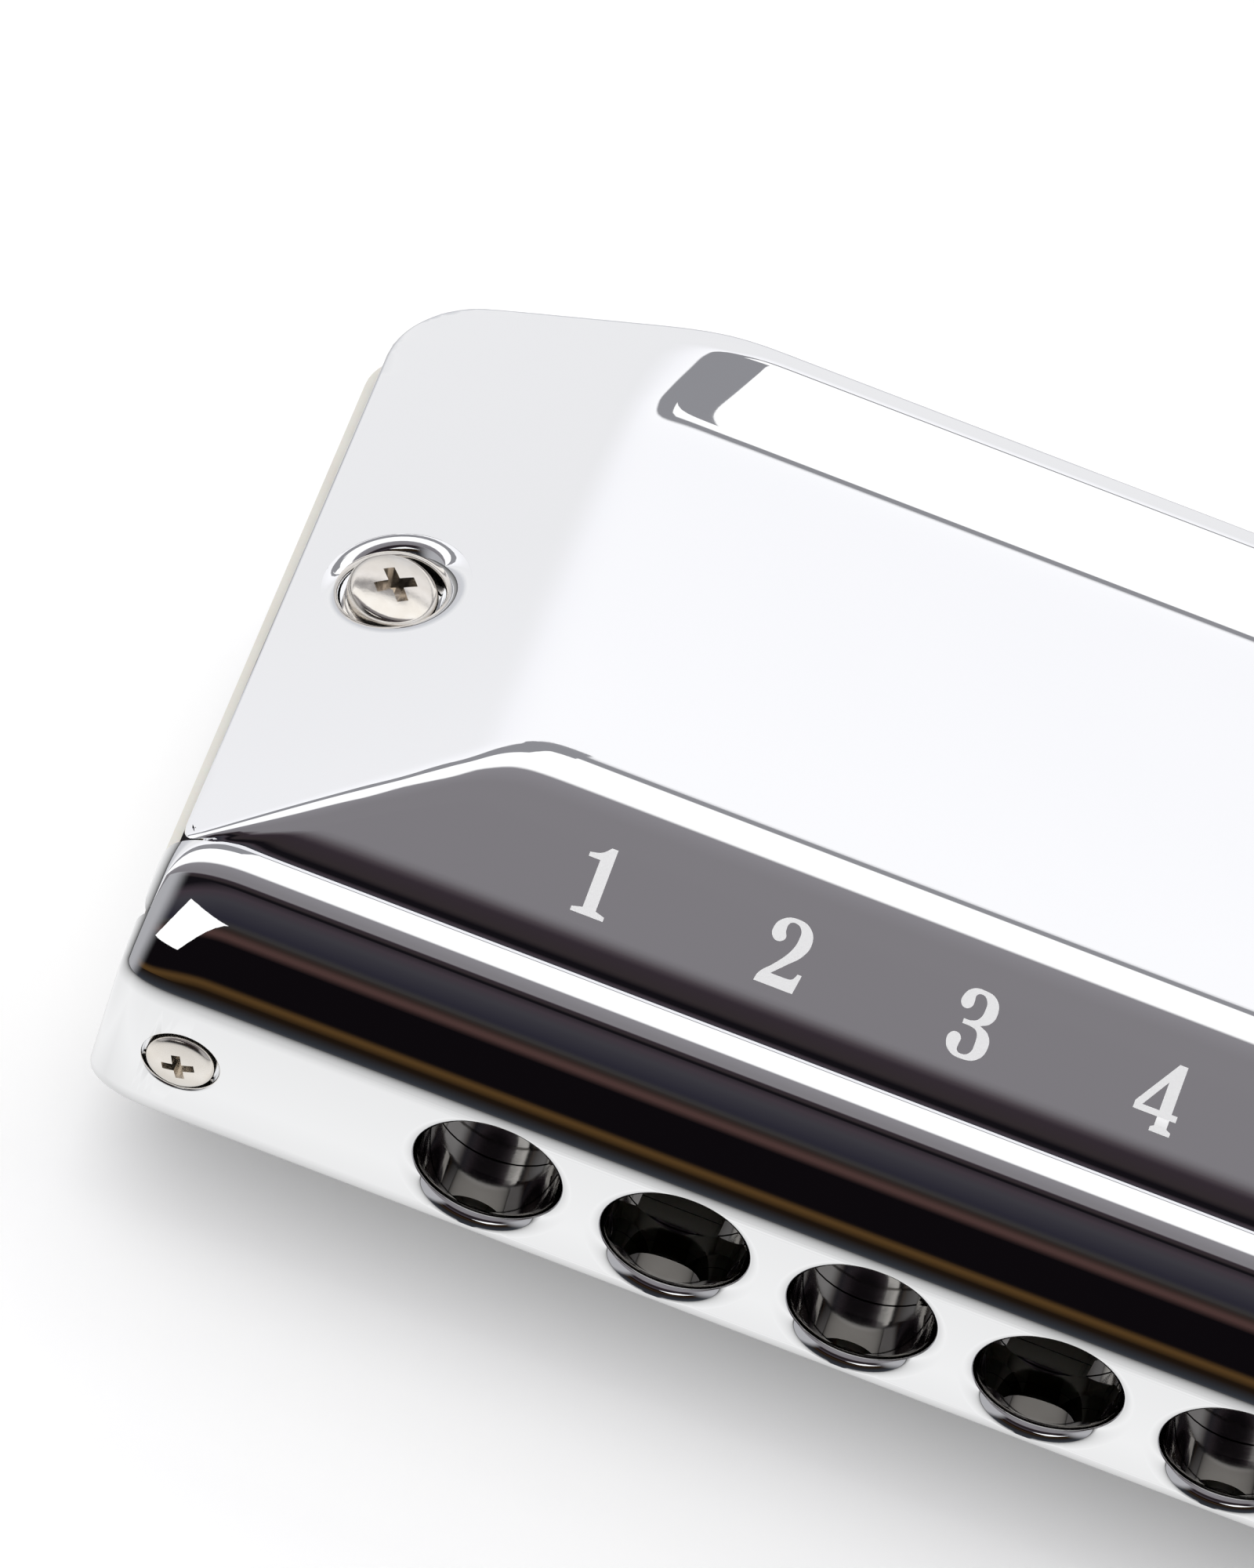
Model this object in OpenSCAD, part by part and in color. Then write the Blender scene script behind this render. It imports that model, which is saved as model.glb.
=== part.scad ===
// Slide chromatic harmonica: comb, reed plates with reeds and valves, two sheet covers,
// and a mouthpiece with a spring-returned slide behind its holes.
// X runs along the hole row with the button at +X, the player is at -Y, and Z is up.

/* [Hole row] */
// Number of mouth holes
holes = 12; // [8:1:16]
// Spacing of the mouth holes
pitch = 9.4; // [9:0.1:10.4]
// Diameter of a mouth hole
hole_d = 7.1; // [5:0.1:7.5]
// Reach of the comb past the centre of the outer hole
end_reach = 19.4; // [18.6:0.1:26]

/* [Comb] */
// Thickness of the comb
comb_t = 12.6; // [11:0.1:16]
// Depth of the comb from front to rear
comb_depth = 36.4; // [34:0.1:44]
// Wall between two neighbouring air cells
cell_wall = 2.2; // [1.4:0.1:2.6]
// Wall between the upper and the lower air cells
mid_wall = 1.4; // [1:0.1:1.6]
// Radius of the comb's rear corners in plan
comb_corner_r = 3.2; // [1:0.1:4]
// Distance from the end of the longest reed's pad to the rear of its air cell
cell_over = 0.8; // [0.4:0.1:1.2]

/* [Reed plates] */
// Thickness of a reed plate
plate_t = 0.9; // [0.8:0.05:1.2]
// Gap between the mouthpiece and the front edge of a reed plate
plate_gap = 0.2; // [0.1:0.05:0.6]
// Distance from the front of the comb to the middle of the reed slots
slot_mid = 17; // [16.5:0.1:17.5]
// Vibrating length of the lowest reed
reed_long = 20; // [16:0.5:21]
// Vibrating length of the highest reed
reed_short = 11; // [8:0.5:14]
// Width of a reed tongue
reed_w = 2; // [1.6:0.05:2.2]
// Thickness of a reed tongue
reed_t = 0.22; // [0.15:0.01:0.3]
// Gap between a reed tongue and each side of its slot
reed_gap = 0.08; // [0.04:0.01:0.15]
// Width of the riveted reed pad
pad_w = 2.9; // [2.6:0.05:3.1]
// Length of the riveted reed pad
pad_l = 3.2; // [2.8:0.1:3.6]
// Thickness of the riveted reed pad
pad_t = 0.32; // [0.3:0.01:0.36]
// Diameter of a rivet shank
rivet_d = 1.2; // [0.9:0.05:1.4]
// Diameter of a rivet head
rivet_head_d = 1.8; // [1.6:0.05:2]
// Height of a rivet head
rivet_head_t = 0.2; // [0.1:0.01:0.22]
// Thickness of a windsaver valve
valve_t = 0.15; // [0.1:0.01:0.2]

/* [Covers] */
// Height of the flat panel above the reed plate
panel_h = 5.5; // [5:0.1:7]
// Rise of the rear edge above the panel
crest_rise = 1.3; // [0.6:0.1:2.2]
// Thickness of the cover sheet
sheet_t = 0.7; // [0.5:0.05:0.75]
// Distance from the mouthpiece's back to the front edge of a cover
cover_gap = 1; // [0.6:0.1:1.4]
// Depth of the sloping number facet
facet_depth = 8; // [6:0.1:9]
// Depth of the flat panel
panel_depth = 23.9; // [20:0.1:26]
// Depth of the rising strip behind the panel
rise_depth = 5.1; // [4:0.1:6]
// Depth of the rolled rear edge
roll_depth = 0.6; // [0.4:0.05:0.7]
// Height of the rolled rear edge
roll_h = 1.6; // [1.2:0.1:2.4]
// Slope of the end ramps in degrees
ramp_angle = 21.3; // [19:0.1:25]
// Height of the upright edge at the foot of a cover
foot_h = 0.35; // [0.2:0.05:0.5]
// Ledge of the comb that shows past the end of a cover
cover_ledge = 0.5; // [0.3:0.05:0.9]
// Radius of the rear corners of a cover in plan
cover_corner_r = 4; // [2:0.1:5]
// Radius of the front corners of a cover in plan
cover_front_r = 1; // [0.5:0.1:2]

/* [Mouthpiece] */
// Thickness of the mouthpiece wall in front of the slide
mouth_wall = 2.9; // [2.5:0.1:3.6]
// Height of the flat front face
face_h = 6.84; // [6:0.02:7.4]
// Radius from the front face into the slope
nose_r = 2.2; // [1.5:0.1:2.4]
// Tilt of the slope at its lower end in degrees
slope_low = 49; // [46:0.5:52]
// Tilt of the slope at its upper end in degrees
slope_high = 40; // [36:0.5:44]
// Radius of the slope's slight belly
slope_r = 32; // [28:0.5:34]
// Radius of the upper rim
rim_r = 2.9; // [2.5:0.1:3.4]
// Step from the comb's end back to the mouthpiece's end
mouth_step = 0.4; // [0.2:0.05:0.8]
// Radius of the mouthpiece's end corners seen from the front
mouth_corner_r = 3; // [1.5:0.1:4]
// Radius of the mouthpiece's end corners in plan
mouth_plan_r = 2; // [1:0.1:2.6]

/* [Slide] */
// Thickness of the slide channel's front
channel_t = 1; // [0.7:0.05:1.3]
// Thickness of the slide
slide_t = 1; // [0.8:0.05:1.2]
// Thickness of the slide's back plate
back_t = 1; // [0.7:0.05:1.3]
// Height of the slide
slide_h = 10; // [9:0.1:10.4]
// Height of the slide's tail under the button
tail_h = 6.8; // [6:0.1:7.4]
// Running gap on each face of the slide
slide_gap = 0.05; // [0.03:0.01:0.1]
// Height of an air window
window_h = 2.6; // [2.2:0.05:2.8]
// Web between neighbouring air windows of the slide
window_web = 0.6; // [0.4:0.05:0.9]
// Diameter of the button
button_d = 8.6; // [8:0.1:9]
// Length of the button
button_l = 5.2; // [4.6:0.1:7]
// Diameter of the spring wire
wire_d = 0.7; // [0.5:0.05:0.8]
// Radius of the spring coil at the middle of its wire
coil_r = 1.8; // [1.6:0.05:2]
// Distance from the comb's front to the middle of the spring coil
coil_back = 8; // [6:0.1:10]

/* [Screws] */
// Distance from the comb's end to a cover screw
cover_screw_in = 5.35; // [5.2:0.05:5.8]
// Distance from the comb's front to a cover screw
cover_screw_back = 18.6; // [17:0.1:20]
// Head diameter of a cover screw
cover_head_d = 4.5; // [4:0.1:4.8]
// Head height of a cover screw
cover_head_h = 1.2; // [0.9:0.05:1.4]
// Shank diameter of a cover screw
cover_shank_d = 2; // [1.6:0.1:2.2]
// Length of a cover screw below its head
cover_screw_l = 5.6; // [4.6:0.1:6]
// Distance from the comb's end to a mouthpiece screw
mouth_screw_in = 4.13; // [3.9:0.01:4.3]
// Head diameter of a mouthpiece screw
mouth_head_d = 3.4; // [3:0.1:3.6]
// Head height of a mouthpiece screw
mouth_head_h = 1.3; // [1.1:0.05:1.5]
// Depth of the counterbore for a mouthpiece screw head
mouth_bore_h = 0.9; // [0.7:0.05:1]
// Shank diameter of a mouthpiece screw
mouth_shank_d = 1.8; // [1.5:0.1:2]
// Bite of a mouthpiece screw in the comb
mouth_screw_bite = 7; // [4:0.1:9]
// Outer diameter of the sleeve that stops the slide
bumper_d = 3.2; // [2.8:0.1:3.4]
// Head diameter of a reed plate screw
plate_head_d = 3; // [2.6:0.1:3.2]
// Shank diameter of a reed plate screw
plate_shank_d = 1.6; // [1.3:0.1:1.8]
// Length of a reed plate screw
plate_screw_l = 4.6; // [3:0.1:5]
// Distance from the comb's end to a reed plate screw
plate_screw_in = 3; // [2.6:0.1:3.4]
// Distance from the comb's front to the forward reed plate screws
plate_screw_front = 6; // [5:0.1:9]
// Distance from the comb's rear to the rearward reed plate screws
plate_screw_rear = 5.4; // [5:0.1:7]
// Distance from the comb's rear to the reed plate screws behind the cells
rear_screw_in = 2.6; // [2.4:0.1:2.8]

/* [Hidden] */
$fn = 48;
eps = 0.5;

// Clearances
fit_gap = 0.02;
bore_gap = 0.1;
head_gap = 0.6;
mouth_head_gap = 0.45;
stop_gap = 0.1;
guide_gap = 0.08;
seat_gap = 0.1;
pad_side_gap = 0.2;
button_gap = 0.4;
post_gap = 0.25;
pilot_over = 0.3;
stack_step = 0.2;
slide_end_gap = 0.3;
leg_gap = 0.12;
coil_gap = 0.05;
pocket_gap = 0.1;
reed_tip_gap = 0.1;
valve_side_gap = 0.1;

// Stations along the row
row_half = (holes - 1) * pitch / 2;
x_end = row_half + end_reach;
plate_half = x_end - cover_ledge;
mouth_half = x_end - mouth_step;
stack_half = x_end - stack_step;
cover_screw_x = x_end - cover_screw_in;
mouth_screw_x = x_end - mouth_screw_in;
plate_screw_x = x_end - plate_screw_in;
travel = pitch / 2;

// Stations from front to rear
slide_y = mouth_wall + channel_t + slide_gap;
back_y = slide_y + slide_t + slide_gap;
comb_y = back_y + back_t;
comb_rear = comb_y + comb_depth;
plate_y = comb_y + plate_gap;
slots_y = comb_y + slot_mid;
cover_y = comb_y + cover_gap;
brow_y = cover_y + facet_depth;
valley_y = brow_y + panel_depth;
crest_y = valley_y + rise_depth;
cover_rear = crest_y + roll_depth;
cover_screw_y = comb_y + cover_screw_back;
end_screw_ys = [comb_y + plate_screw_front, comb_rear - plate_screw_rear];
rear_screw_y = comb_rear - rear_screw_in;

// Heights above the middle of the comb
plate_z = comb_t / 2;
base_z = plate_z + plate_t;
panel_z = base_z + panel_h;
crest_z = panel_z + crest_rise;
foot_z = base_z + foot_h;
lip_z = crest_z - roll_h;
dimple_z = base_z + sheet_t;

// Air cells, windows and reeds
cell_w = pitch - cell_wall;
window_w = travel - window_web;
window_z = mid_wall / 2 + window_h / 2;
reed_x = cell_w / 2 - pad_w / 2 - pad_side_gap;
slot_w = reed_w + 2 * reed_gap;
rivet_bore = rivet_d / 2 + fit_gap;
valve_w = pad_w - 2 * valve_side_gap;
valve_over = 2;
valve_short = (pad_l - rivet_head_d) / 2 - valve_side_gap;

// Slide, channel and button
fold_t = 0.8;
channel_h = slide_h + 2 * guide_gap + 2 * fold_t;
slide_left = -x_end + travel + slide_end_gap;
slide_right = stack_half - slide_end_gap;
button_x = x_end + travel + button_gap;
button_tip = button_x + button_l;
button_y = slide_y + slide_t / 2;
button_face_t = 1.8;
tail_tip = button_tip - button_face_t;
button_rivet_x = (button_x + tail_tip) / 2;
neck_step = 0.7;
neck_r = button_d / 2 - neck_step;
neck_l = 0.9;
dome_r = 1.2 * button_d;

// Return spring and its pocket
bumper_bore = mouth_shank_d / 2 + fit_gap;
leg_web = 2.5;
leg_x = mouth_screw_x - bumper_d / 2 - stop_gap - leg_web;
leg_hole_d = wire_d + 2 * leg_gap;
coil_x = leg_x - wire_d / 2 - coil_r;
coil_y = comb_y + coil_back;
coil_turns = 2.5;
coil_steps = 16;
coil_pitch = wire_d + coil_gap;
coil_h = coil_turns * coil_pitch;
pocket_room = 1.5;
pocket_left = leg_x - travel - wire_d;
pocket_right = leg_x + wire_d / 2 + pocket_room;
pocket_rear = coil_y + coil_r + wire_d / 2 + pocket_room;
pocket_floor = -wire_d / 2 - pocket_gap;
post_l = coil_h + 2 * wire_d;

// Screws
mouth_head_proud = mouth_head_h - mouth_bore_h;
mouth_screw_l = comb_y + mouth_screw_bite;
mouth_bore = mouth_shank_d / 2 + bore_gap;
cover_bore = cover_shank_d / 2 + bore_gap;
cross_w = 0.55;
cross_depth = 0.6;
slot_depth = 0.35;

// The frame's origin: middle of the box, on the lower crest
frame_shift = [(x_end - button_tip) / 2, (mouth_head_proud - cover_rear) / 2, crest_z];

function hole_x(i) = i * pitch - row_half;
function reed_len(i) = reed_long - (reed_long - reed_short) * i / (holes - 1);
function slot_start(i) = slots_y - reed_len(i) / 2;
function slot_end(i) = slots_y + reed_len(i) / 2;
function cell_rear(i) = slot_end(i) + pad_l + cell_over;
// Odd holes open the upper cell at rest, even holes the lower one
function rest_level(i) = i % 2 == 0 ? 1 : -1;
function plate_screw_spots() = concat(
  [for (s = [-1, 1], y = end_screw_ys) [s * plate_screw_x, y]],
  [for (i = [1 : 3 : holes - 2]) [hole_x(i), rear_screw_y]]
);

// Points of an arc about a centre, from one angle to another
function arc(c, r, a0, a1, n = 6) =
  [for (k = [0 : n]) c + r * [cos(a0 + (a1 - a0) * k / n), sin(a0 + (a1 - a0) * k / n)]];

// A corner moved inwards along both of its edges, on an anticlockwise outline
function left_of(a, b) = [a[1] - b[1], b[0] - a[0]] / norm(b - a);
function moved_corner(a, b, c, t) =
  let (n1 = left_of(a, b), n2 = left_of(b, c)) b + (n1 + n2) * t / (1 + n1 * n2);
function inset(pts, t) = let (n = len(pts))
  [for (k = [0 : n - 1]) moved_corner(pts[(k + n - 1) % n], pts[k], pts[(k + 1) % n], t)];

// Shapes drawn in a plane and given a thickness
module along_x(half) {
  rotate([90, 0, 90])
    linear_extrude(2 * half, center = true)
      children();
}
module along_y(y0, t) {
  translate([0, y0 + t, 0])
    rotate([90, 0, 0])
      linear_extrude(t)
        children();
}
module along_z(z0, t) {
  translate([0, 0, z0])
    linear_extrude(t)
      children();
}
module bore_y(x, y0, l, r, z = 0) {
  translate([x, y0, z])
    rotate([-90, 0, 0])
      cylinder(r = r, h = l);
}
module bore_z(x, y, z0, l, r) {
  translate([x, y, z0])
    cylinder(r = r, h = l);
}
module lower_side() {
  mirror([0, 0, 1])
    children();
}
module placed() {
  translate(frame_shift)
    children();
}
module rounded_rear(half, y0, y1, r) {
  translate([-half, y0])
    square([2 * half, y1 - y0 - r]);
  translate([r - half, y0])
    square([2 * (half - r), y1 - y0]);
  for (s = [-1, 1])
    translate([s * (half - r), y1 - r])
      circle(r);
}

// Screw with a domed cross-slotted head, its seat at z = 0 and its head upwards
module domed_screw(head_d, head_h, shank_d, shank_l) {
  dome_r = 1.1 * head_d;
  difference() {
    union() {
      intersection() {
        cylinder(d = head_d, h = head_h);
        translate([0, 0, head_h - dome_r])
          sphere(dome_r, $fn = 96);
      }
      translate([0, 0, -shank_l])
        cylinder(d = shank_d, h = shank_l);
    }
    cross_slot(0.55 * head_d, head_h);
  }
}
module cross_slot(l, top) {
  for (a = [0, 90])
    rotate(a)
      translate([-l / 2, -cross_w / 2, top - cross_depth])
        cube([l, cross_w, cross_depth + eps]);
}

// Comb: one moulded block with an upper and a lower air cell behind each hole
module comb() {
  color("ivory")
    placed()
      difference() {
        along_z(-plate_z, comb_t)
          rounded_rear(x_end, comb_y, comb_rear, comb_corner_r);
        comb_cells();
        lower_side()
          comb_cells();
        spring_pocket();
        for (s = [-1, 1])
          bore_y(s * mouth_screw_x, comb_y - eps, mouth_screw_l - comb_y + eps + pilot_over, bumper_bore);
        comb_pilots();
        lower_side()
          comb_pilots();
      }
}
module comb_cells() {
  for (i = [0 : holes - 1])
    translate([hole_x(i) - cell_w / 2, comb_y - eps, mid_wall / 2])
      cube([cell_w, cell_rear(i) - comb_y + eps, plate_z]);
}
module comb_pilots() {
  for (s = [-1, 1])
    pilot(s * cover_screw_x, cover_screw_y, dimple_z - cover_screw_l, cover_shank_d);
  for (p = plate_screw_spots())
    pilot(p[0], p[1], base_z - plate_screw_l, plate_shank_d);
}
module pilot(x, y, tip_z, shank_d) {
  bore_z(x, y, tip_z - pilot_over, comb_t, shank_d / 2 + fit_gap);
}
module spring_pocket() {
  difference() {
    translate([pocket_left, comb_y - eps, pocket_floor])
      cube([pocket_right - pocket_left, pocket_rear - comb_y + eps, comb_t]);
    bore_z(coil_x, coil_y, pocket_floor - eps, post_l + eps, coil_r - wire_d / 2 - post_gap);
  }
}

// Reed plate: brass sheet with a slot and a rivet hole for every reed
module reed_plate() {
  difference() {
    along_z(plate_z, plate_t)
      rounded_rear(plate_half, plate_y, comb_rear, comb_corner_r);
    for (i = [0 : holes - 1], s = [-1, 1])
      translate([hole_x(i) + s * reed_x - slot_w / 2, slot_start(i), plate_z - eps])
        cube([slot_w, reed_len(i), plate_t + 2 * eps]);
    for (i = [0 : holes - 1]) {
      bore_z(hole_x(i) - reed_x, blow_rivet_y(i), plate_z - eps, plate_t + 2 * eps, rivet_bore);
      bore_z(hole_x(i) + reed_x, draw_rivet_y(i), plate_z - eps, plate_t + 2 * eps, rivet_bore);
    }
    for (s = [-1, 1])
      bore_z(s * cover_screw_x, cover_screw_y, plate_z - eps, plate_t + 2 * eps, cover_bore);
    for (p = plate_screw_spots())
      translate([p[0], p[1], base_z])
        countersink(plate_head_d / 2 + fit_gap, plate_shank_d / 2 + fit_gap, plate_t + eps);
  }
}
function blow_rivet_y(i) = slot_end(i) + pad_l / 2;
function draw_rivet_y(i) = slot_start(i) - pad_l / 2;
module countersink(r_head, r_shank, l) {
  rotate_extrude()
    polygon([[0, -l], [r_shank, -l], [r_shank, r_shank - r_head], [r_head, 0], [r_head, eps], [0, eps]]);
}
module upper_reed_plate() {
  color("goldenrod")
    placed()
      reed_plate();
}
module lower_reed_plate() {
  color("goldenrod")
    placed()
      lower_side()
        reed_plate();
}

// Reeds: a thin tongue over its slot and a thicker pad with a rivet hole.
// Blow reeds lie on the inner face of the plate, draw reeds on the outer face.
module blow_reeds() {
  for (i = [0 : holes - 1])
    translate([hole_x(i) - reed_x, slot_start(i), plate_z])
      mirror([0, 0, 1])
        reed(reed_len(i));
}
module draw_reeds() {
  for (i = [0 : holes - 1])
    translate([hole_x(i) + reed_x, slot_end(i), base_z])
      mirror([0, 1, 0])
        reed(reed_len(i));
}
module reed(l) {
  translate([-reed_w / 2, reed_tip_gap, 0])
    cube([reed_w, l, reed_t]);
  difference() {
    translate([-pad_w / 2, l, 0])
      cube([pad_w, pad_l, pad_t]);
    bore_z(0, l + pad_l / 2, -eps, pad_t + 2 * eps, rivet_bore);
  }
}
module upper_blow_reeds() {
  color("gold")
    placed()
      blow_reeds();
}
module upper_draw_reeds() {
  color("gold")
    placed()
      draw_reeds();
}
module lower_blow_reeds() {
  color("gold")
    placed()
      lower_side()
        blow_reeds();
}
module lower_draw_reeds() {
  color("gold")
    placed()
      lower_side()
        draw_reeds();
}

// Rivets through pad and plate, with a head on each side
module reed_rivets() {
  for (i = [0 : holes - 1]) {
    rivet(hole_x(i) - reed_x, blow_rivet_y(i), plate_z - pad_t, base_z);
    rivet(hole_x(i) + reed_x, draw_rivet_y(i), plate_z, base_z + pad_t);
  }
}
module rivet(x, y, low, high) {
  bore_z(x, y, low - rivet_head_t, high - low + 2 * rivet_head_t, rivet_d / 2);
  for (z = [low - rivet_head_t, high])
    bore_z(x, y, z, rivet_head_t, rivet_head_d / 2);
}
module upper_reed_rivets() {
  color("darkgoldenrod")
    placed()
      reed_rivets();
}
module lower_reed_rivets() {
  color("darkgoldenrod")
    placed()
      lower_side()
        reed_rivets();
}

// Windsaver valves: a strip over the slot on the side away from the reed
module blow_valves() {
  for (i = [0 : holes - 1])
    translate([hole_x(i) - reed_x - valve_w / 2, slot_start(i) - valve_over, base_z])
      cube([valve_w, reed_len(i) + valve_over + valve_short, valve_t]);
}
module draw_valves() {
  for (i = [0 : holes - 1])
    translate([hole_x(i) + reed_x - valve_w / 2, slot_start(i) - valve_short, plate_z - valve_t])
      cube([valve_w, reed_len(i) + valve_over + valve_short, valve_t]);
}
module upper_blow_valves() {
  color("whitesmoke")
    placed()
      blow_valves();
}
module upper_draw_valves() {
  color("whitesmoke")
    placed()
      draw_valves();
}
module lower_blow_valves() {
  color("whitesmoke")
    placed()
      lower_side()
        blow_valves();
}
module lower_draw_valves() {
  color("whitesmoke")
    placed()
      lower_side()
        draw_valves();
}

// Countersunk screws that hold a reed plate on the comb
module plate_screws() {
  for (p = plate_screw_spots())
    translate([p[0], p[1], base_z])
      difference() {
        rotate_extrude()
          polygon([
            [0, -plate_screw_l], [plate_shank_d / 2, -plate_screw_l],
            [plate_shank_d / 2, (plate_shank_d - plate_head_d) / 2], [plate_head_d / 2, 0], [0, 0]
          ]);
        translate([-plate_head_d, -cross_w / 2, -slot_depth])
          cube([2 * plate_head_d, cross_w, slot_depth + eps]);
      }
}
module upper_plate_screws() {
  color("khaki")
    placed()
      plate_screws();
}
module lower_plate_screws() {
  color("khaki")
    placed()
      lower_side()
        plate_screws();
}

// Back plate: two windows per hole, into the upper and the lower cell
module slide_back_plate() {
  color("silver")
    placed()
      difference() {
        along_y(back_y, back_t)
          difference() {
            square([2 * stack_half, channel_h], center = true);
            for (i = [0 : holes - 1], s = [-1, 1])
              translate([hole_x(i), s * window_z])
                square([window_w, window_h], center = true);
            translate([leg_x - travel / 2, 0])
              square([travel + leg_hole_d, leg_hole_d], center = true);
          }
        for (s = [-1, 1])
          bore_y(s * mouth_screw_x, back_y - eps, back_t + 2 * eps, mouth_bore);
      }
}

// Slide: for every hole a window at rest, and one on the other level half a pitch along
module slide() {
  color("gainsboro")
    placed()
      difference() {
        along_y(slide_y, slide_t)
          difference() {
            slide_outline();
            for (i = [0 : holes - 1]) {
              slide_window(hole_x(i), rest_level(i));
              slide_window(hole_x(i) + travel, -rest_level(i));
            }
            slide_stops();
          }
        bore_y(leg_x, slide_y - eps, slide_t + 2 * eps, leg_hole_d / 2);
        bore_y(button_rivet_x, slide_y - eps, slide_t + 2 * eps, rivet_bore);
      }
}
module slide_outline() {
  translate([slide_left, -slide_h / 2])
    square([slide_right - slide_left, slide_h]);
  translate([0, -tail_h / 2])
    square([tail_tip, tail_h]);
}
module slide_window(x, level) {
  translate([x, level * window_z])
    square([window_w, window_h], center = true);
}
// The fork at the left end and the closed slot at the right end run on the sleeves
module slide_stops() {
  reach = bumper_d / 2 + stop_gap;
  translate([slide_left - eps, -reach])
    square([reach + travel - mouth_screw_x - slide_left + eps, 2 * reach]);
  translate([mouth_screw_x - reach, -reach])
    square([travel + 2 * reach, 2 * reach]);
}

// Channel: front sheet with the hole row, folded over the slide along both edges
module slide_channel() {
  color("darkgray")
    placed()
      difference() {
        union() {
          along_y(mouth_wall, channel_t)
            square([2 * stack_half, channel_h], center = true);
          along_y(mouth_wall, back_y - mouth_wall)
            for (s = [-1, 1])
              translate([0, s * (channel_h - fold_t) / 2])
                square([2 * stack_half, fold_t], center = true);
        }
        for (i = [0 : holes - 1])
          bore_y(hole_x(i), mouth_wall - eps, channel_t + 2 * eps, hole_d / 2);
        for (s = [-1, 1])
          bore_y(s * mouth_screw_x, mouth_wall - eps, channel_t + 2 * eps, mouth_bore);
      }
}

// Return spring: a wire coil round the comb's post, one leg in the slide and one on the wall
function coil_points() = [for (k = [0 : coil_turns * coil_steps])
  let (a = 360 * k / coil_steps)
    [coil_x + coil_r * cos(a), coil_y + coil_r * sin(a), coil_pitch * k / coil_steps]];
function spring_path() = concat(
  [[leg_x, slide_y + pocket_gap, 0], [leg_x, comb_y, 0]],
  coil_points(),
  [[pocket_left + wire_d / 2 + fit_gap, comb_y + pocket_room, coil_h]]
);
function unit(v) = v / norm(v);
function heading(pts, k) = unit(pts[min(k + 1, len(pts) - 1)] - pts[max(k - 1, 0)]);
function wire_ring(p, d, r, n) =
  let (side = unit(cross(d, [0, 0, 1])), up = cross(side, d))
    [for (j = [0 : n - 1]) p + r * (cos(360 * j / n) * side + sin(360 * j / n) * up)];
module wire(pts, r, n = 8) {
  last = len(pts) - 1;
  rings = [for (k = [0 : last]) wire_ring(pts[k], heading(pts, k), r, n)];
  sides = [for (k = [0 : last - 1], j = [0 : n - 1])
    [k * n + j, (k + 1) * n + j, (k + 1) * n + (j + 1) % n, k * n + (j + 1) % n]];
  caps = [[for (j = [0 : n - 1]) j], [for (j = [n - 1 : -1 : 0]) last * n + j]];
  polyhedron([for (ring = rings) each ring], concat(sides, caps));
}
module slide_spring() {
  color("dimgray")
    placed()
      wire(spring_path(), wire_d / 2);
}

// Sleeves on the mouthpiece screws that stop the slide at both ends of its travel
module slide_bumpers() {
  sleeve_l = slide_t + 2 * slide_gap - 2 * fit_gap;
  color("white")
    placed()
      for (s = [-1, 1])
        difference() {
          bore_y(s * mouth_screw_x, slide_y - slide_gap + fit_gap, sleeve_l, bumper_d / 2);
          bore_y(s * mouth_screw_x, slide_y - eps, slide_t + 2 * eps, bumper_bore);
        }
}

// Button: turned knob with a neck and a domed face, slotted for the slide's tail
module button() {
  dome_a = asin(button_d / 2 / dome_r);
  dome_c = [0, button_l - dome_r];
  color("lightgray")
    placed()
      difference() {
        translate([button_x, button_y, 0])
          rotate([0, 90, 0])
            rotate_extrude()
              polygon(concat(
                [[0, 0], [neck_r, 0], [neck_r, neck_l], [button_d / 2, neck_l]],
                arc(dome_c, dome_r, 90 - dome_a, 90)
              ));
        translate([button_x - eps, slide_y - fit_gap, -tail_h / 2 - fit_gap])
          cube([tail_tip - button_x + eps + fit_gap, slide_t + 2 * fit_gap, tail_h + 2 * fit_gap]);
        bore_y(button_rivet_x, button_y - button_d, 2 * button_d, rivet_bore);
      }
}
module button_rivet() {
  rivet_l = 2 * neck_r;
  color("gray")
    placed()
      bore_y(button_rivet_x, button_y - rivet_l / 2, rivet_l, rivet_d / 2);
}

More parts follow.
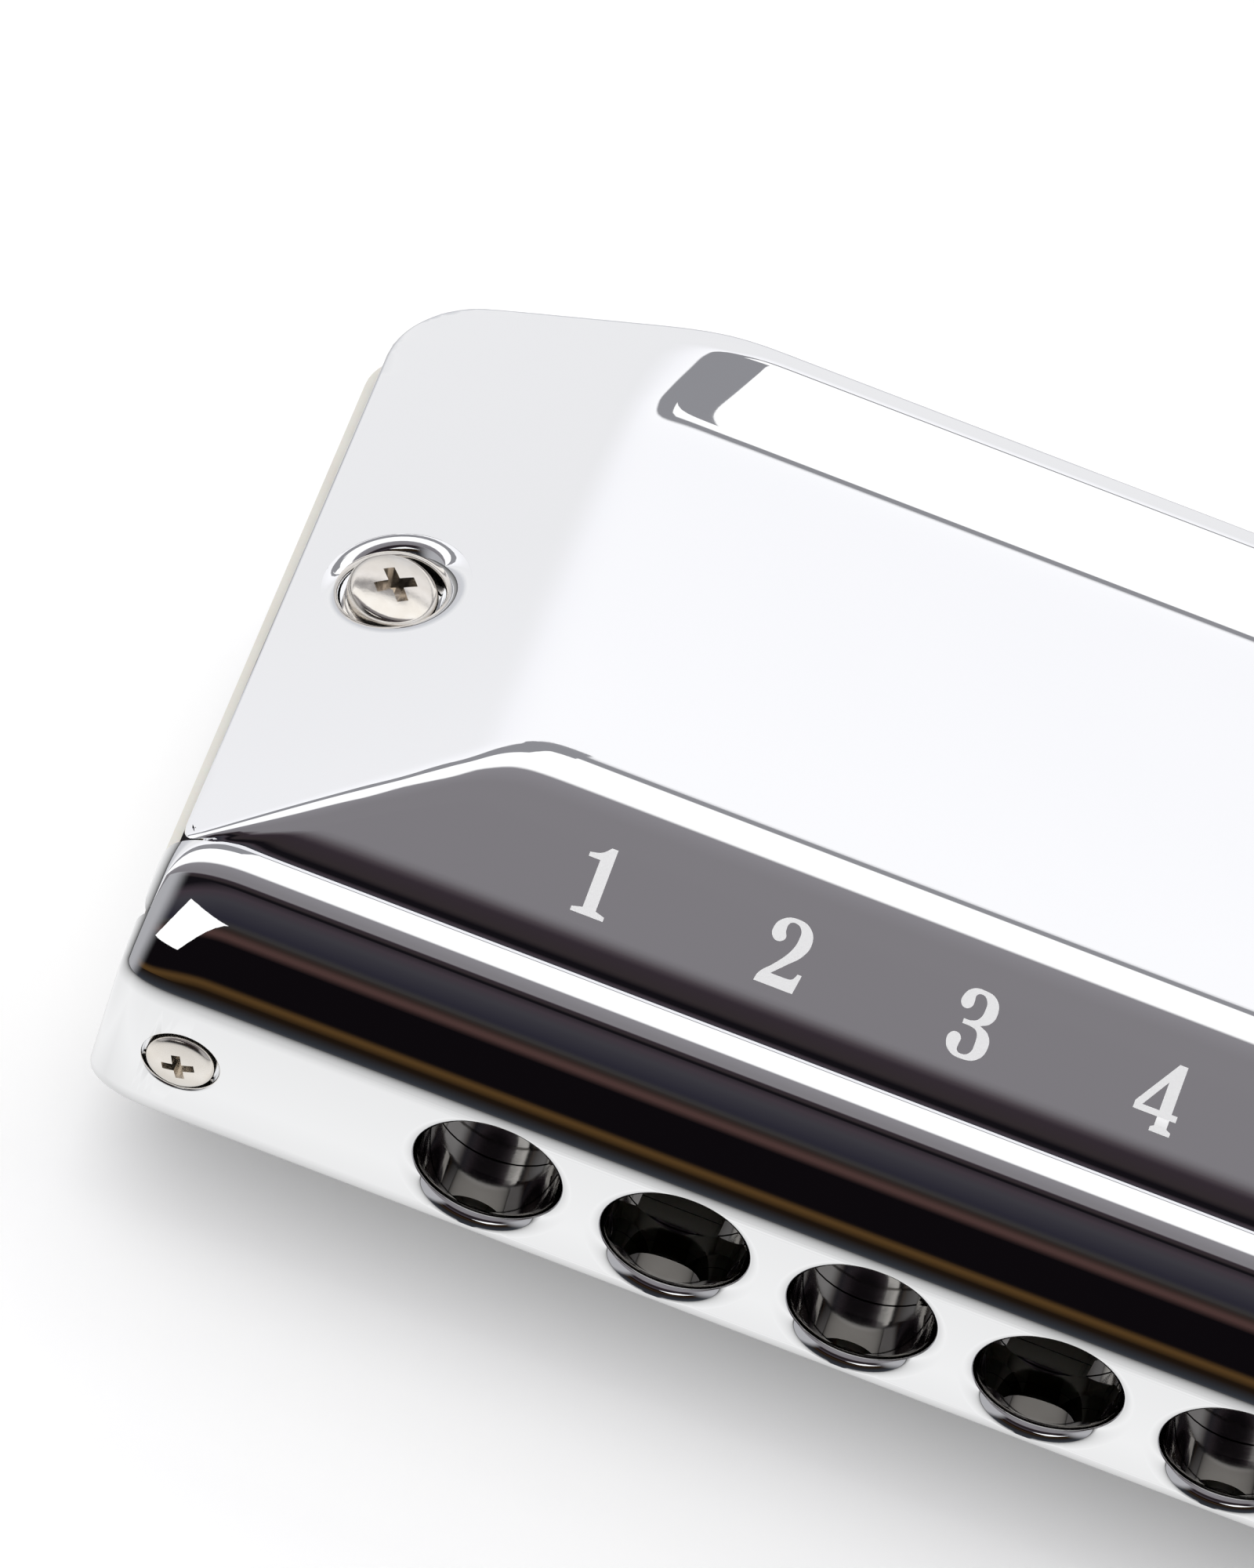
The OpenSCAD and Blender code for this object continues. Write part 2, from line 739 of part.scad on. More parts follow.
// Mouthpiece: rounded bar with the hole row, pocketed behind for the slide
function slope_c() = [nose_r, face_h / 2] + (slope_r - nose_r) * [sin(slope_low), -cos(slope_low)];
function rim_c() = slope_c() + (slope_r - rim_r) * [-sin(slope_high), cos(slope_high)];
function mouth_upper() = concat(
  arc([nose_r, face_h / 2], nose_r, 180, 90 + slope_low),
  arc(slope_c(), slope_r, 90 + slope_low, 90 + slope_high, 3),
  arc(rim_c(), rim_r, 90 + slope_high, 90),
  [rim_c() + [comb_y, rim_r]]
);
function mouth_outline() = let (up = mouth_upper(), n = len(up))
  concat([for (k = [n - 1 : -1 : 0]) [up[k][0], -up[k][1]]], up);
function mouth_h() = rim_c()[1] + rim_r;
module mouthpiece() {
  color("lightsteelblue")
    placed()
      difference() {
        intersection() {
          along_x(mouth_half)
            polygon(mouth_outline());
          along_y(0, comb_y)
            rounded_box(mouth_half, mouth_h(), mouth_corner_r);
          along_z(-mouth_h(), 2 * mouth_h())
            mirror([0, 1])
              rounded_rear(mouth_half, -comb_y, 0, mouth_plan_r);
        }
        along_y(mouth_wall, comb_y)
          square([2 * x_end + eps, channel_h + 2 * seat_gap], center = true);
        for (i = [0 : holes - 1])
          bore_y(hole_x(i), -eps, comb_y, hole_d / 2);
        for (s = [-1, 1]) {
          bore_y(s * mouth_screw_x, -eps, comb_y, mouth_bore);
          bore_y(s * mouth_screw_x, -eps, mouth_bore_h + eps, mouth_head_d / 2 + mouth_head_gap);
        }
      }
}
module rounded_box(half_w, half_h, r) {
  square([2 * (half_w - r), 2 * half_h], center = true);
  square([2 * half_w, 2 * (half_h - r)], center = true);
  for (sx = [-1, 1], sy = [-1, 1])
    translate([sx * (half_w - r), sy * (half_h - r)])
      circle(r);
}
module mouthpiece_screws() {
  color("whitesmoke")
    placed()
      for (s = [-1, 1])
        translate([s * mouth_screw_x, mouth_bore_h, 0])
          rotate([90, 0, 0])
            domed_screw(mouth_head_d, mouth_head_h, mouth_shank_d, mouth_screw_l - mouth_bore_h);
}

// Cover: pressed sheet with end ramps, number facet, flat panel and an open, raised rear edge
function side_outline(foot) = [
  [cover_y, foot], [cover_rear, foot], [cover_rear, crest_z - roll_depth], [crest_y, crest_z],
  [valley_y, panel_z], [brow_y, panel_z], [cover_y, foot_z]
];
function end_outline(foot) =
  let (high = crest_z + eps, x_high = plate_half - (high - foot_z) / tan(ramp_angle))
    [[-plate_half, foot], [plate_half, foot], [plate_half, foot_z],
     [x_high, high], [-x_high, high], [-plate_half, foot_z]];
// The cover's outer form, or with a sheet thickness the room inside it down to below its foot
module cover_form(t, foot) {
  intersection() {
    along_x(x_end)
      polygon(inset(side_outline(foot - t), t));
    cover_ends(t, foot);
    along_z(0, 2 * crest_z)
      cover_plan(t);
  }
}
module cover_ends(t, foot) {
  along_y(cover_y - eps, cover_rear - cover_y + 2 * eps)
    polygon(inset(end_outline(foot - t), t));
}
module cover_plan(t) {
  intersection() {
    rounded_rear(plate_half - t, cover_y + t - cover_front_r, cover_rear - t, cover_corner_r - t);
    translate([0, cover_rear + cover_y])
      mirror([0, 1])
        rounded_rear(plate_half - t, cover_y + t - cover_corner_r, cover_rear - t, cover_front_r);
  }
}
module cover() {
  dimple_r = cover_head_d / 2 + head_gap;
  difference() {
    union() {
      difference() {
        cover_form(0, base_z);
        cover_form(sheet_t, base_z - eps);
        open_rear();
      }
      for (s = [-1, 1])
        intersection() {
          cover_form(0, base_z);
          bore_z(s * cover_screw_x, cover_screw_y, base_z, crest_z, dimple_r + sheet_t);
        }
    }
    for (s = [-1, 1]) {
      bore_z(s * cover_screw_x, cover_screw_y, dimple_z, crest_z, dimple_r);
      bore_z(s * cover_screw_x, cover_screw_y, 0, crest_z, cover_bore);
    }
  }
}
// The sound opening along the rear, below the rolled edge
module open_rear() {
  intersection() {
    cover_ends(sheet_t, base_z - eps);
    translate([-x_end, crest_y - cover_corner_r, base_z - eps])
      cube([2 * x_end, cover_corner_r + roll_depth + eps, lip_z - base_z + eps]);
  }
}
module upper_cover() {
  color("lightgray")
    placed()
      cover();
}
module lower_cover() {
  color("lightgray")
    placed()
      lower_side()
        cover();
}
module cover_screws() {
  for (s = [-1, 1])
    translate([s * cover_screw_x, cover_screw_y, dimple_z])
      domed_screw(cover_head_d, cover_head_h, cover_shank_d, cover_screw_l);
}
module upper_cover_screws() {
  color("whitesmoke")
    placed()
      cover_screws();
}
module lower_cover_screws() {
  color("whitesmoke")
    placed()
      lower_side()
        cover_screws();
}

comb();
upper_reed_plate();
lower_reed_plate();
upper_blow_reeds();
upper_draw_reeds();
lower_blow_reeds();
lower_draw_reeds();
upper_reed_rivets();
lower_reed_rivets();
upper_blow_valves();
upper_draw_valves();
lower_blow_valves();
lower_draw_valves();
upper_plate_screws();
lower_plate_screws();
slide_back_plate();
slide();
slide_channel();
slide_spring();
slide_bumpers();
button();
button_rivet();
mouthpiece();
mouthpiece_screws();
upper_cover();
lower_cover();
upper_cover_screws();
lower_cover_screws();
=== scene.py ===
import math

import bmesh
import bpy
from mathutils import Matrix, Quaternion, Vector


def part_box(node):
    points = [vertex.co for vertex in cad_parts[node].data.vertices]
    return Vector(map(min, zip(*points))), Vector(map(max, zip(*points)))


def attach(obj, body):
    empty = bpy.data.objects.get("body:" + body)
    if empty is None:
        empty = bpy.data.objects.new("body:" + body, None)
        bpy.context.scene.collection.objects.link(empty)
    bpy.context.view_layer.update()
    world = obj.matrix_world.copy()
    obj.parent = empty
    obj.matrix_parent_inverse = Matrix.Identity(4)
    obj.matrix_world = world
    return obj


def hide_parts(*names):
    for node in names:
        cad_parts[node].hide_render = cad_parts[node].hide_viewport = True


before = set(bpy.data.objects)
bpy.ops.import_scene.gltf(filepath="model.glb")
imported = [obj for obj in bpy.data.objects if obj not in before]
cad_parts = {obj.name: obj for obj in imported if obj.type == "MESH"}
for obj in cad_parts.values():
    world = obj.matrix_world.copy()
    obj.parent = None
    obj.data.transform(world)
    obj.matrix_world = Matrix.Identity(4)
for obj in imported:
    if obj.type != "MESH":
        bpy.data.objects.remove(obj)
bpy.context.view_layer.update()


# Comb: one block of cream moulded plastic with an air cell above and below for every hole.
# Everything else is screwed to it, and its ends show past the covers as narrow ledges.
class Line:
    """An output of a shader node. Sums of lines and numbers add Math nodes."""

    def __init__(self, sheet, socket):
        self.sheet = sheet
        self.socket = socket

    def out(self, output):
        return Line(self.sheet, self.socket.node.outputs[output])

    def math(self, operation, *values):
        return self.sheet.add("ShaderNodeMath", {"operation": operation}, dict(enumerate(values)))

    def __add__(self, other):
        return self.math("ADD", self, other)

    def __sub__(self, other):
        return self.math("SUBTRACT", self, other)

    def __rsub__(self, other):
        return self.math("SUBTRACT", other, self)

    def __mul__(self, other):
        return self.math("MULTIPLY", self, other)

    def __gt__(self, other):
        return self.math("GREATER_THAN", self, other)

    def __lt__(self, other):
        return self.math("LESS_THAN", self, other)

    __radd__ = __add__
    __rmul__ = __mul__


class Sheet:
    """The shader nodes of a finish, the floor or the studio."""

    def __init__(self, owner):
        owner.use_nodes = True
        self.tree = owner.node_tree

    def add(self, kind, settings=(), values=(), output=0):
        node = self.tree.nodes.new(kind)
        for key, value in dict(settings).items():
            if key == "stops":
                self.set_stops(node.color_ramp, value)
            else:
                setattr(node, key, value)
        for key, value in dict(values).items():
            self.plug(value, node.inputs[key])
        return Line(self, node.outputs[output])

    def plug(self, value, socket):
        if isinstance(value, Line):
            self.tree.links.new(value.socket, socket)
        else:
            socket.default_value = value

    def set_stops(self, ramp, stops):
        for _ in range(len(stops) - len(ramp.elements)):
            ramp.elements.new(1.0)
        for element, (position, colour) in zip(ramp.elements, stops):
            element.position = position
            element.color = (*colour, 1.0)

    def place(self):
        """Where a point lies on the object: its x, with its y and z as further outputs."""
        where = self.add("ShaderNodeTexCoord", output="Object")
        return self.add("ShaderNodeSeparateXYZ", values={"Vector": where})

    def blend(self, share, first, second):
        colours = {0: share, 6: first, 7: second}
        return self.add("ShaderNodeMix", {"data_type": "RGBA"}, colours, output=2)

    def rising(self, value, start, end, low=0.0, high=1.0, kind="LINEAR"):
        """A number that goes from low to high while a value goes from start to end."""
        span = {0: value, 1: start, 2: end, 3: low, 4: high}
        return self.add("ShaderNodeMapRange", {"interpolation_type": kind}, span)


class Finish(Sheet):
    """A material with one main shader. Patterns lie on the object's own coordinates."""

    def __init__(self, name, **inputs):
        self.material = bpy.data.materials.new(name)
        super().__init__(self.material)
        self.shader = self.tree.nodes["Principled BSDF"]
        self.set(**inputs)

    def set(self, **inputs):
        for key, value in inputs.items():
            self.plug(value, self.shader.inputs[key.replace("_", " ")])

    def noise(self, size_mm, detail=2.0, stretch=(1, 1, 1)):
        spread = [1000 / size_mm / s for s in stretch]
        where = self.add("ShaderNodeTexCoord", output="Object")
        where = self.add("ShaderNodeMapping", values={"Vector": where, "Scale": spread})
        return self.add("ShaderNodeTexNoise", values={"Vector": where, "Scale": 1.0, "Detail": detail})

    def mixed(self, share, low, high):
        return self.blend(share, (*low, 1.0), (*high, 1.0))

    def relief(self, height, depth_mm):
        values = {"Strength": 1.0, "Distance": depth_mm / 1000, "Height": height}
        return self.add("ShaderNodeBump", values=values)


def dress(finish, *nodes):
    """Give CAD nodes a finish as they are."""
    for name in nodes:
        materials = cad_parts[name].data.materials
        materials.clear()
        materials.append(finish.material)


def cream_plastic():
    finish = Finish("cream_plastic", Roughness=0.42, Subsurface_Weight=0.08, Subsurface_Scale=0.001)
    cloud = finish.noise(size_mm=3.0, detail=3.0)
    grain = finish.noise(size_mm=0.25, detail=3.0)
    finish.set(Base_Color=finish.mixed(cloud, (0.84, 0.81, 0.73), (0.94, 0.92, 0.86)))
    finish.set(Normal=finish.relief(grain, depth_mm=0.004))
    return finish


dress(cream_plastic(), "comb")


# Reed plates: rolled brass sheets, one on each side of the comb, with a slot for every reed.
# Their end edges show as a thin dark line along the ledge of the comb; that line is painted shade, with
# the plates' ends painted nearly black.
def brass(name, dark, light, grain_mm, roughness, shade_from=1.0):
    """Rolled brass. Further from the middle than the given end distance it is painted nearly black, as
    painted shade at the plate's ends.
    """
    finish = Finish(name, Metallic=1.0)
    # Painted shade: the nearly black colour given to the plates' ends.
    painted_shade_black = (0.022, 0.020, 0.022, 1.0)
    rolled = finish.noise(grain_mm, detail=4.0, stretch=(14, 1, 1))
    stain = finish.noise(size_mm=6.0, detail=3.0)
    place = finish.place()
    # Painted shade: past the given distance from the middle the colour turns nearly black.
    shaded_ends = place.math("ABSOLUTE", place - plate_middle) > shade_from
    finish.set(Base_Color=finish.blend(shaded_ends, finish.mixed(stain, dark, light), painted_shade_black))
    finish.set(Roughness=roughness + 0.16 * rolled)
    finish.set(Normal=finish.relief(rolled, depth_mm=0.003))
    return finish


plate_low, plate_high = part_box("upper_reed_plate")
plate_middle = (plate_low.x + plate_high.x) / 2
# Painted shade: this last stretch of each plate end is painted nearly black.
shade_end = 0.0012
plate_brass = brass("plate_brass", (0.20, 0.135, 0.055), (0.34, 0.24, 0.10), grain_mm=0.4, roughness=0.26,
                    shade_from=plate_high.x - plate_middle - shade_end)
dress(plate_brass, "upper_reed_plate", "lower_reed_plate")


# Reeds and rivets: thin brass tongues, filed along their length and riveted at one end.
# They are brighter than the plates that they lie on.
reed_brass = brass("reed_brass", (0.62, 0.43, 0.18), (0.80, 0.60, 0.30), grain_mm=0.2, roughness=0.2)
dress(reed_brass, "upper_blow_reeds", "upper_draw_reeds", "lower_blow_reeds", "lower_draw_reeds",
      "upper_reed_rivets", "lower_reed_rivets")


# Valves: strips of thin milky film, glued beside the rivet on the far side of each slot.
# They close the slot of the reed that isn't sounding.
def milky_film():
    finish = Finish("milky_film", Roughness=0.38)
    cloud = finish.noise(size_mm=1.5, detail=3.0)
    finish.set(Base_Color=finish.mixed(cloud, (0.70, 0.71, 0.69), (0.84, 0.85, 0.83)))
    finish.set(Normal=finish.relief(finish.noise(size_mm=0.3), depth_mm=0.003))
    return finish


dress(milky_film(), "upper_blow_valves", "upper_draw_valves", "lower_blow_valves", "lower_draw_valves")


# Reed plate screws: small countersunk brass screws, nickel plated, flush with the plate.
# The same plating is on all the screws of the instrument.
def nickel(name, dark, light, roughness):
    finish = Finish(name, Metallic=1.0)
    tarnish = finish.noise(size_mm=0.9, detail=4.0)
    wear = finish.noise(size_mm=0.3, detail=3.0)
    finish.set(Base_Color=finish.mixed(tarnish, dark, light))
    finish.set(Roughness=roughness + 0.14 * wear)
    finish.set(Normal=finish.relief(finish.noise(size_mm=0.15), depth_mm=0.002))
    return finish


screw_nickel = nickel("screw_nickel", (0.80, 0.74, 0.66), (0.93, 0.90, 0.86), roughness=0.1)
dress(screw_nickel, "upper_plate_screws", "lower_plate_screws")


# Slide stack: channel, slide and back plate, punched from nickel-plated sheet.
# It lies in the mouthpiece's pocket, and the slide runs in the folded channel.
def drawn_nickel():
    finish = Finish("drawn_nickel", Metallic=1.0)
    drawn = finish.noise(size_mm=0.12, detail=4.0, stretch=(40, 1, 1))
    cloud = finish.noise(size_mm=2.0, detail=3.0)
    finish.set(Base_Color=finish.mixed(cloud, (0.50, 0.49, 0.475), (0.66, 0.65, 0.635)))
    finish.set(Roughness=0.05 + 0.07 * drawn)
    finish.set(Normal=finish.relief(drawn, depth_mm=0.0003))
    return finish


def whole(bm):
    return bm.verts[:] + bm.edges[:] + bm.faces[:]


def of_kind(elements, kind):
    return [e for e in elements if isinstance(e, kind)]


def placed(name, bm):
    """A finished shape as an object of the scene."""
    mesh = bpy.data.meshes.new(name)
    bm.to_mesh(mesh)
    bm.free()
    piece = bpy.data.objects.new(name, mesh)
    bpy.context.scene.collection.objects.link(piece)
    return piece


def clipped_channel():
    """The channel with its four end corners clipped, to stay under the round ends of the mouthpiece."""
    shape = bmesh.new()
    shape.from_mesh(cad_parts["slide_channel"].data)
    bmesh.ops.remove_doubles(shape, verts=shape.verts, dist=1e-6)
    low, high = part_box("slide_channel")
    clip = 0.0017
    for x, side in ((low.x, -1), (high.x, 1)):
        for z, level in ((low.z, -1), (high.z, 1)):
            cut = bmesh.ops.bisect_plane(shape, geom=whole(shape), plane_co=(x - side * clip, 0, z),
                                         plane_no=(side, 0, level), clear_outer=True)["geom_cut"]
            bmesh.ops.holes_fill(shape, edges=of_kind(cut, bmesh.types.BMEdge))
    bmesh.ops.recalc_face_normals(shape, faces=shape.faces)
    channel = placed("slide_channel_clipped", shape)
    channel.data.materials.append(stack_nickel.material)
    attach(channel, "body")
    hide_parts("slide_channel")


stack_nickel = drawn_nickel()
dress(stack_nickel, "slide", "slide_back_plate")
clipped_channel()


# Return spring and sleeves: a coil of dark spring wire, and white sleeves on the screws.
# They push the slide back and stop it without a click.
def spring_wire():
    finish = Finish("spring_wire", Metallic=1.0)
    drawn = finish.noise(size_mm=0.1, detail=3.0, stretch=(1, 12, 1))
    finish.set(Base_Color=finish.mixed(drawn, (0.22, 0.22, 0.23), (0.38, 0.38, 0.39)))
    finish.set(Roughness=0.3 + 0.15 * drawn)
    return finish


def white_sleeve():
    finish = Finish("white_sleeve", Roughness=0.5)
    cloud = finish.noise(size_mm=0.6)
    finish.set(Base_Color=finish.mixed(cloud, (0.74, 0.73, 0.69), (0.85, 0.84, 0.80)))
    return finish


dress(spring_wire(), "slide_spring", "button_rivet")
dress(white_sleeve(), "slide_bumpers")


# Mouthpiece: a thick brass bar, milled round on its long edges and ends, then polished and chromed.
# The round holes have rolled rims, and a slot behind them takes the slide stack.
comb_low, comb_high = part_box("comb")
mouth_low, mouth_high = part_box("mouthpiece")
row_place = Vector(((comb_low.x + comb_high.x) / 2, mouth_low.y, (comb_low.z + comb_high.z) / 2))
to_frame = Matrix.Translation(row_place) @ Matrix.Scale(0.001, 4)
hole_count = 12
hole_pitch = 9.4
hole_r = 3.45
hole_xs = [(i - (hole_count - 1) / 2) * hole_pitch for i in range(hole_count)]
mouth_half = 500 * (comb_high.x - comb_low.x) + 0.05
mouth_depth = 1000 * (mouth_high.y - mouth_low.y)
mouth_top = 500 * (mouth_high.z - mouth_low.z)
mouth_screw_x, seat_depth = 66.97, 0.9
plating = (0.930, 0.935, 0.945), (0.950, 0.952, 0.958)


def in_millimetres(name, bm):
    """An object of a shape drawn in millimetres, with x, y and z from the middle of the hole row."""
    bmesh.ops.remove_doubles(bm, verts=bm.verts, dist=0.0005)
    bmesh.ops.recalc_face_normals(bm, faces=bm.faces)
    return placed(name, bm)


def cut_away(piece, *tools):
    """Cut tools out of a piece, and take what its modifiers make as its mesh."""
    for tool in tools:
        step = piece.modifiers.new("cut", "BOOLEAN")
        step.operation = "DIFFERENCE"
        step.object = tool
    shaped = piece.evaluated_get(bpy.context.evaluated_depsgraph_get())
    piece.data = bpy.data.meshes.new_from_object(shaped)
    piece.modifiers.clear()
    for tool in tools:
        bpy.data.objects.remove(tool)


def settle(piece, finish, nodes, body="body"):
    """Take a finished shape into the frame, smooth it up to the crease angle and fix it to its body."""
    crease = math.radians(40)
    piece.data.transform(to_frame)
    piece.data.materials.clear()
    piece.data.materials.append(finish.material)
    piece.data.shade_smooth()
    piece.data.set_sharp_from_angle(angle=crease)
    even = piece.modifiers.new("even_normals", "WEIGHTED_NORMAL")
    even.keep_sharp = True
    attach(piece, body)
    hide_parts(*nodes)


def chrome(name, polish, haze):
    """Mirror plating. The polish runs along the given stretch, with faint smears of handling."""
    finish = Finish(name, Metallic=1.0)
    smear = finish.noise(size_mm=14.0, detail=4.0)
    strokes = finish.noise(size_mm=0.12, detail=3.0, stretch=polish)
    finish.set(Base_Color=finish.mixed(smear, *plating))
    finish.set(Roughness=haze + 1.5 * haze * smear * strokes)
    finish.set(Normal=finish.relief(strokes, depth_mm=0.00004))
    return finish


def dull_bores(finish):
    """The plating hardly reaches into the holes, so the metal is dark there."""
    plated_to, bare_from, row_half = 0.0004, 0.0010, 0.06
    dull_metal = (0.52, 0.51, 0.50, 1.0)
    place = finish.place()
    deep = finish.rising(place.out("Y"), row_place.y + plated_to, row_place.y + bare_from)
    bores = place.math("ABSOLUTE", place.out("Z") - row_place.z) < (hole_r + 0.05) / 1000
    between = place.math("ABSOLUTE", place - row_place.x) < row_half
    bright = finish.mixed(finish.noise(size_mm=14.0, detail=4.0), *plating)
    finish.set(Base_Color=finish.blend(deep * bores * between, bright, dull_metal))


def carry_round(bm, vert, centre, degrees, steps):
    """Draw an arc from a vertex about a centre in the YZ plane."""
    turn = {"cent": (0, *centre), "axis": (1, 0, 0), "angle": math.radians(degrees), "steps": steps}
    return bmesh.ops.spin(bm, geom=[vert], use_merge=False, **turn)["geom_last"][0]


def draw_to(bm, vert, y, z):
    end = bm.verts.new((vert.co.x, y, z))
    bm.edges.new((vert, end))
    return end


def arc_points(centre, radius, start, end, steps):
    angles = [math.radians(start + (end - start) * k / steps) for k in range(steps + 1)]
    return [(centre[0] + radius * math.cos(a), centre[1] + radius * math.sin(a)) for a in angles]


def upright_to(axis):
    return Vector((0, 0, 1)).rotation_difference(Vector(axis)).to_matrix()


def turned(name, outline, places, axis, steps=64):
    """Spin an outline of radius and height about an axis, once for every place."""
    shape = bmesh.new()
    verts = [shape.verts.new((radius, 0, height)) for radius, height in outline]
    edges = [shape.edges.new(pair) for pair in zip(verts, verts[1:])]
    turn = {"cent": (0, 0, 0), "axis": (0, 0, 1), "angle": math.tau, "steps": steps}
    bmesh.ops.spin(shape, geom=verts + edges, use_merge=True, **turn)
    bmesh.ops.remove_doubles(shape, verts=shape.verts, dist=0.0005)
    bmesh.ops.rotate(shape, cent=(0, 0, 0), matrix=upright_to(axis), verts=shape.verts)
    first = whole(shape)
    for place in places[1:]:
        copy = bmesh.ops.duplicate(shape, geom=first)["geom"]
        bmesh.ops.translate(shape, vec=place, verts=of_kind(copy, bmesh.types.BMVert))
    bmesh.ops.translate(shape, vec=places[0], verts=of_kind(first, bmesh.types.BMVert))
    return in_millimetres(name, shape)


def mouthpiece_bar():
    """Draw the rounded section, run it along the row, then round off both ends in steps."""
    face_half, nose_r, slope_r, rim_r = 3.42, 2.2, 32.0, 2.9
    slope_low, slope_high = 49, 40
    nose = Vector((nose_r, face_half))
    low_way = Vector((math.sin(math.radians(slope_low)), -math.cos(math.radians(slope_low))))
    high_way = Vector((math.sin(math.radians(slope_high)), -math.cos(math.radians(slope_high))))
    slope = nose + (slope_r - nose_r) * low_way
    rim = slope - (slope_r - rim_r) * high_way
    turns = [(nose, slope_low - 90, 10), (slope, slope_high - slope_low, 6), (rim, -slope_high, 12)]
    end_l, end_drop, face_l, face_drop, end_steps = 4.3, 2.9, 3.6, 1.5, 20

    bar = bmesh.new()
    start = bar.verts.new((end_l - mouth_half, mouth_depth, -mouth_top))
    vert = draw_to(bar, start, rim.x, -mouth_top)
    for centre, degrees, steps in reversed(turns):
        vert = carry_round(bar, vert, (centre.x, -centre.y), degrees, steps)
    vert = draw_to(bar, vert, 0, face_half)
    for centre, degrees, steps in turns:
        vert = carry_round(bar, vert, centre, degrees, steps)
    vert = draw_to(bar, vert, mouth_depth, mouth_top)
    bar.edges.new((vert, start))
    section = bmesh.ops.contextual_create(bar, geom=bar.edges[:])["faces"][0]
    run = bmesh.ops.extrude_face_region(bar, geom=[section])["geom"]
    far_verts = of_kind(run, bmesh.types.BMVert)
    bmesh.ops.translate(bar, vec=(2 * (mouth_half - end_l), 0, 0), verts=far_verts)
    far_section = of_kind(run, bmesh.types.BMFace)[0]

    def sunk(drop, share):
        fullness = 2.4
        return drop * (1 - max(1 - max(share, 0) ** fullness, 0) ** (1 / fullness))

    for face, side in ((section, -1), (far_section, 1)):
        height, depth, along = mouth_top, mouth_depth, 0
        for k in range(1, end_steps + 1):
            reach = end_l * math.sin(math.pi / 2 * k / end_steps)
            next_height = mouth_top - sunk(end_drop, reach / end_l)
            next_depth = mouth_depth - sunk(face_drop, (reach - end_l + face_l) / face_l)
            made = bmesh.ops.extrude_face_region(bar, geom=[face])["geom"]
            bmesh.ops.delete(bar, geom=[face], context="FACES_ONLY")
            face = of_kind(made, bmesh.types.BMFace)[0]
            shrink = (1, next_depth / depth, (next_height - face_half) / (height - face_half))
            for level in (-1, 1):
                half = [v for v in face.verts if level * v.co.z > 0]
                pinned = Matrix.Translation((0, -mouth_depth, -level * face_half))
                bmesh.ops.scale(bar, vec=shrink, space=pinned, verts=half)
            bmesh.ops.translate(bar, vec=(side * (reach - along), 0, 0), verts=face.verts)
            height, depth, along = next_height, next_depth, reach
    return in_millimetres("mouthpiece_chromed", bar)


def mouthpiece_tools():
    """What is milled out: the pocket of the slide stack, the holes and the seats of the screws."""
    wall, pocket_half, rim_r = 2.9, 5.98, 0.85
    pocket = bmesh.new()
    bmesh.ops.create_cube(pocket, size=1.0)
    pocket_size = (4 * mouth_half, 2 * (mouth_depth - wall), 2 * pocket_half)
    bmesh.ops.scale(pocket, vec=pocket_size, verts=pocket.verts)
    bmesh.ops.translate(pocket, vec=(0, mouth_depth, 0), verts=pocket.verts)
    flare = arc_points((hole_r + rim_r, rim_r), rim_r, 180, 270, 8)
    through = [(0, wall + 1), (hole_r, wall + 1), *flare, (hole_r + rim_r, -1), (0, -1)]
    holes = turned("hole_tool", through, [(x, 0, 0) for x in hole_xs], (0, 1, 0), 96)
    seat_r, bore_r, edge_r = 1.9, 1.0, 0.15
    lip = arc_points((seat_r + edge_r, edge_r), edge_r, 180, 270, 4)
    seat = [(0, wall + 1), (bore_r, wall + 1), (bore_r, seat_depth), (seat_r, seat_depth), *lip,
            (seat_r + edge_r, -1), (0, -1)]
    seats = turned("seat_tool", seat, [(s * mouth_screw_x, 0, 0) for s in (-1, 1)], (0, 1, 0))
    return in_millimetres("pocket_tool", pocket), holes, seats


chrome_bar = chrome("chrome_bar", polish=(60, 1, 1), haze=0.006)
dull_bores(chrome_bar)
mouthpiece = mouthpiece_bar()
cut_away(mouthpiece, *mouthpiece_tools())
settle(mouthpiece, chrome_bar, ["mouthpiece"])
# Only the flat face evens out its normals. The round nose and the ends keep their plain ones.
flat_front = mouthpiece.vertex_groups.new(name="flat_front")
flat_to = row_place.y + 0.0001
front_verts = [v.index for v in mouthpiece.data.vertices if v.co.y < flat_to]
flat_front.add(front_verts, 1.0, "REPLACE")
mouthpiece.modifiers["even_normals"].vertex_group = flat_front.name


# Covers: pressed sheet, chromed, with a ramp at each end, a sloping number facet in front,
# a flat panel and a raised rear edge. The rear stays open for the sound.
cover_low, cover_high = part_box("upper_cover")
cover_half = 500 * (cover_high.x - cover_low.x)
cover_front, cover_rear = (1000 * (y - row_place.y) for y in (cover_low.y, cover_high.y))
base_z, crest_z = (1000 * (z - row_place.z) for z in (cover_low.z, cover_high.z))
foot_z = base_z + 0.35
panel_z = crest_z - 1.3
brow_y, valley_y, crest_y = cover_front + 7.2, cover_front + 31.9, cover_front + 36.4
foot_y = cover_front - 0.65
crest_top = panel_z + 1.0
rim_z = crest_top - 0.09
lip_z = crest_z - 1.6
ramp_rise = math.tan(math.radians(21.3))
sheet_t = 0.7
cover_corner_r, front_corner_r, dimple_rim, rim_bend = 4.0, 1.1, 1.0, 0.12
cover_screw_x, cover_screw_y, dimple_r, cover_bore_r = 65.75, 24.6, 2.45, 1.1
dimple_z = base_z + sheet_t
clear_z = 2 * crest_z
hair = 0.01
outer_pairs = [("ramp", "end"), ("ramp", "rear"), ("rim", "rear"), ("front", "end")]


